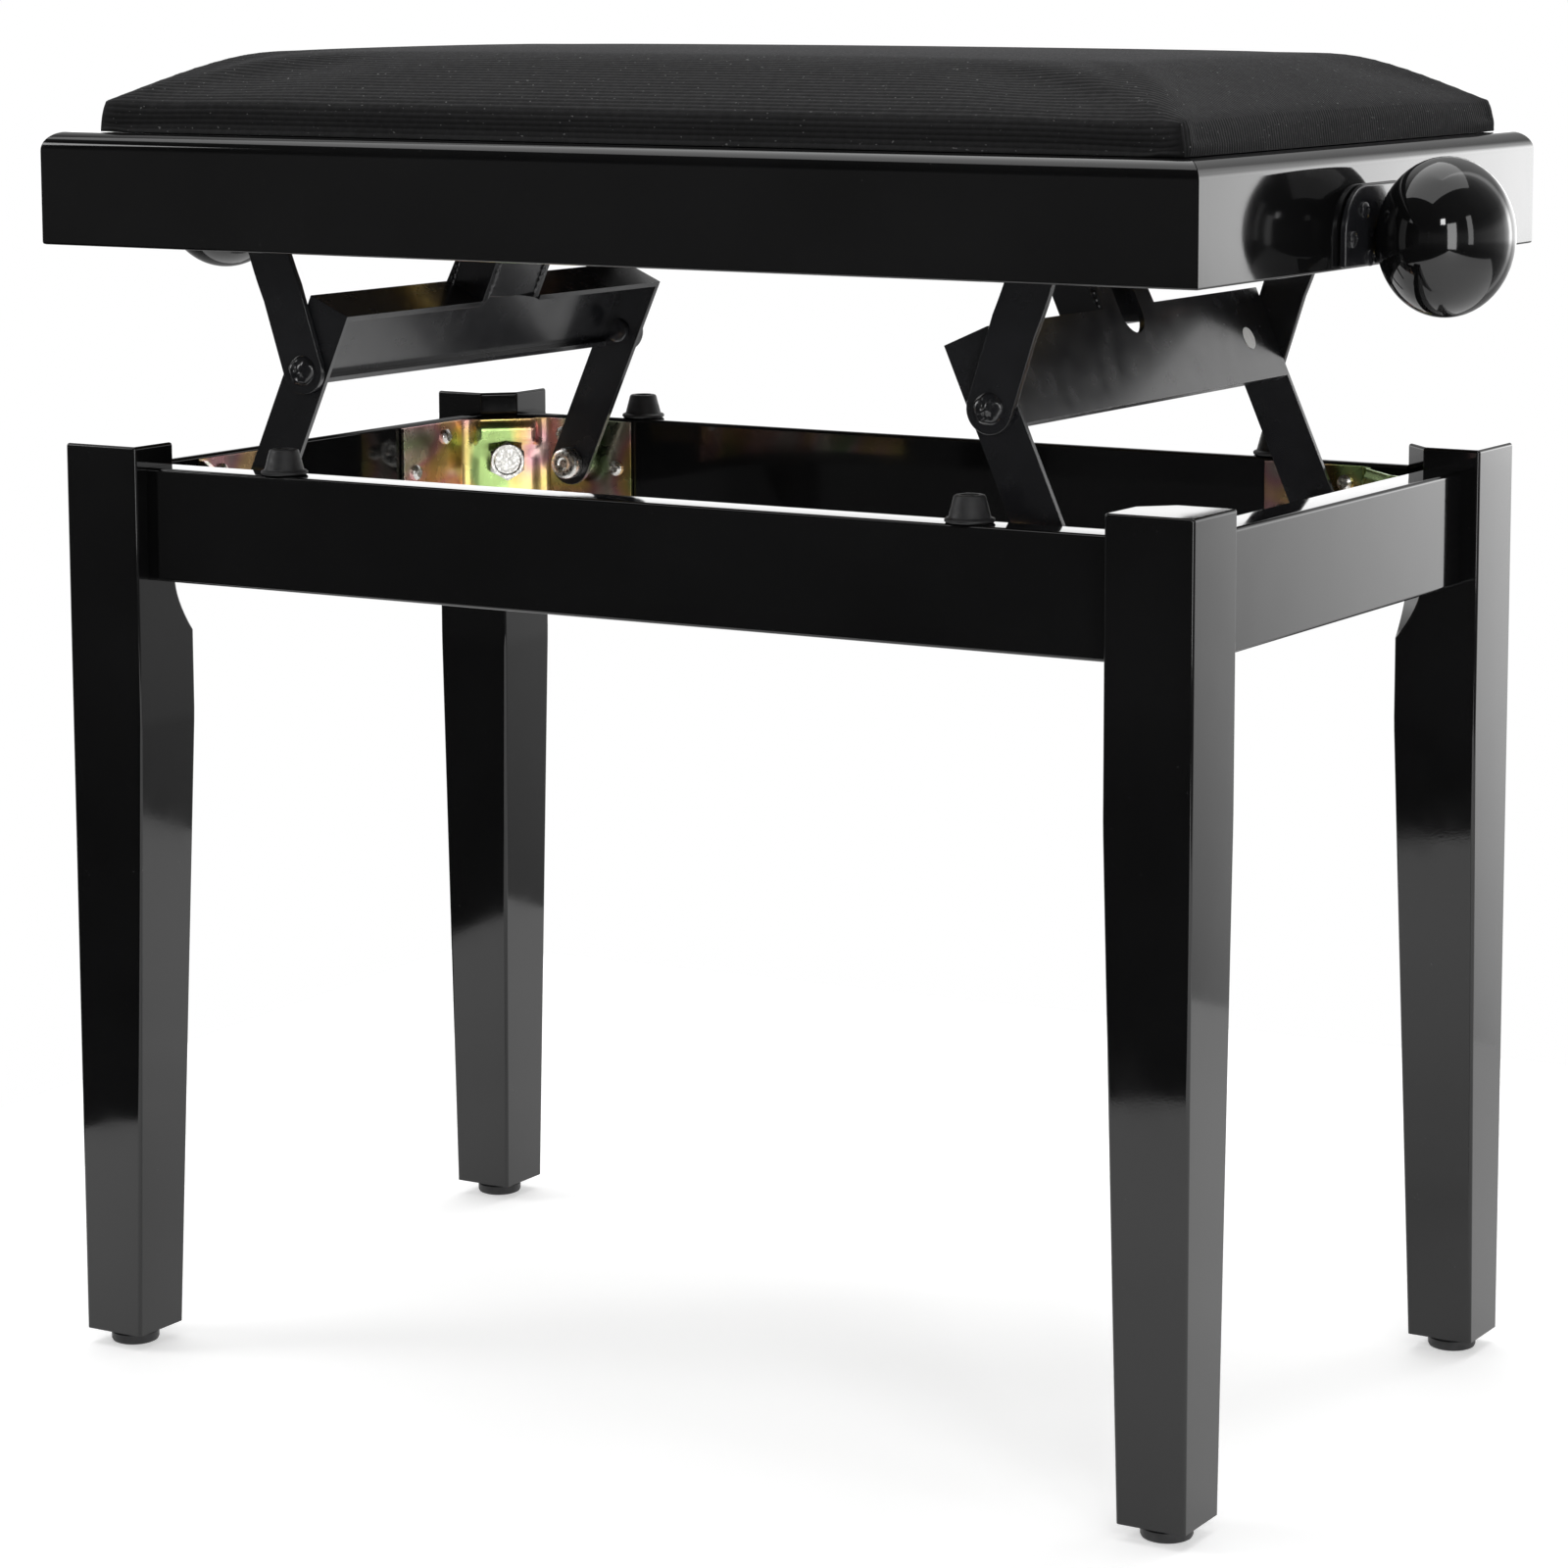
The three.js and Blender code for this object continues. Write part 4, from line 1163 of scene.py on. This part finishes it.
def make_world():
    """A white studio: bright behind the bench and to its right, dark in front of it."""
    world = bpy.data.worlds.new("studio")
    scene.world = world
    world.use_nodes = True
    nodes, links = world.node_tree.nodes, world.node_tree.links
    background = nodes["Background"]
    background.inputs["Color"].default_value = (1, 1, 1, 1)
    direction = nodes.new("ShaderNodeTexCoord").outputs["Generated"]
    split = nodes.new("ShaderNodeSeparateXYZ")
    links.new(direction, split.inputs["Vector"])

    def math_node(kind, *inputs):
        made = nodes.new("ShaderNodeMath")
        made.operation = kind
        for socket, value in zip(made.inputs, inputs):
            plug(links, socket, value)
        return made.outputs[0]

    azimuth = math_node("ARCTAN2", split.outputs["X"], split.outputs["Y"])
    turn = math_node("MULTIPLY_ADD", azimuth, 0.5 / math.pi, 0.5)
    places = [((degrees + 180) / 360, value / WORLD_BRIGHTEST) for degrees, value in BY_AZIMUTH]
    by_azimuth = color_ramp(nodes, links, turn, [(place, (value,) * 3) for place, value in places])
    height = math_node("MULTIPLY_ADD", split.outputs["Z"], 0.5, 0.5)
    by_height = color_ramp(nodes, links, height, [(place, (value,) * 3) for place, value in BY_HEIGHT])
    level = math_node("MULTIPLY", math_node("MULTIPLY", by_azimuth, by_height), WORLD_LEVEL)
    # the camera sees plain white at strength 1; reflections and light come from the studio
    seen = nodes.new("ShaderNodeLightPath").outputs["Is Camera Ray"]
    lit = math_node("MULTIPLY", level, math_node("SUBTRACT", 1.0, seen))
    mixed = math_node("ADD", seen, lit)
    links.new(mixed, background.inputs["Strength"])


def softbox(name, at, target, size, power, size_y=None):
    data = bpy.data.lights.new(name, "AREA")
    data.energy = power
    data.shape = "RECTANGLE" if size_y else "SQUARE"
    data.size = size
    if size_y:
        data.size_y = size_y
    light = added(name, data)
    light.location = at
    light.visible_camera = False
    light.rotation_euler = (Vector(target) - Vector(at)).to_track_quat("-Z", "Y").to_euler()


def make_stage():
    paint = Paint("pale_floor", IOR=1.4)
    paint.color(paint.ramp(paint.noise(300, 2), (0.3, (0.86, 0.86, 0.86)), (0.7, (0.90, 0.90, 0.90))))
    paint.roughness(paint.level(paint.noise(80, 2), 0.75, 0.85))
    # the sheet glows with its own emission, painted light that keeps the shadow under the bench pale
    paint.shader.inputs["Emission Color"].default_value = (1, 1, 1, 1)
    paint.shader.inputs["Emission Strength"].default_value = 0.46
    # the white sheet the bench stands on; its edges show in the legs' reflections
    edges = [(-0.60, 0.60, 0), (-0.56, -0.32, 0), (-0.51, -0.465, 0), (-0.05, -0.78, 0), (1.6, -1.35, 0),
             (1.6, 0.75, 0)]
    mesh = bpy.data.meshes.new("floor")
    mesh.from_pydata(edges, [], [tuple(range(len(edges)))])
    mesh.materials.append(paint.material)
    floor = added("floor", mesh)
    softbox("overhead", (-0.2, 0.1, 2.8), (0, 0, 0.3), 3.2, 52)
    softbox("right_front", (1.65, -1.2, 0.62), (-0.2, 0.1, 0.4), 0.5, 9, size_y=1.1)
    softbox("front_square", (1.5, -1.9, 1.5), (0, 0, 0.5), 0.34, 6)
    softbox("right_strip", (2.6, -0.4, 0.9), (0, 0, 0.4), 0.35, 4, size_y=1.4)
    softbox("left_fill", (-2.0, -1.2, 1.4), (0, 0, 0.4), 0.9, 14)


scene.view_settings.view_transform = "Standard"
make_camera()
make_world()
make_stage()
make_legs()
make_rails()
make_glides_and_bumpers()
make_pivots()
make_brackets()
make_links()
make_arms()
make_seat_frame()
make_spindle()
make_cushion()
for nut in ("left_nut", "right_nut"):
    frame["nodes"][nut].material_slots[0].material = BRASS
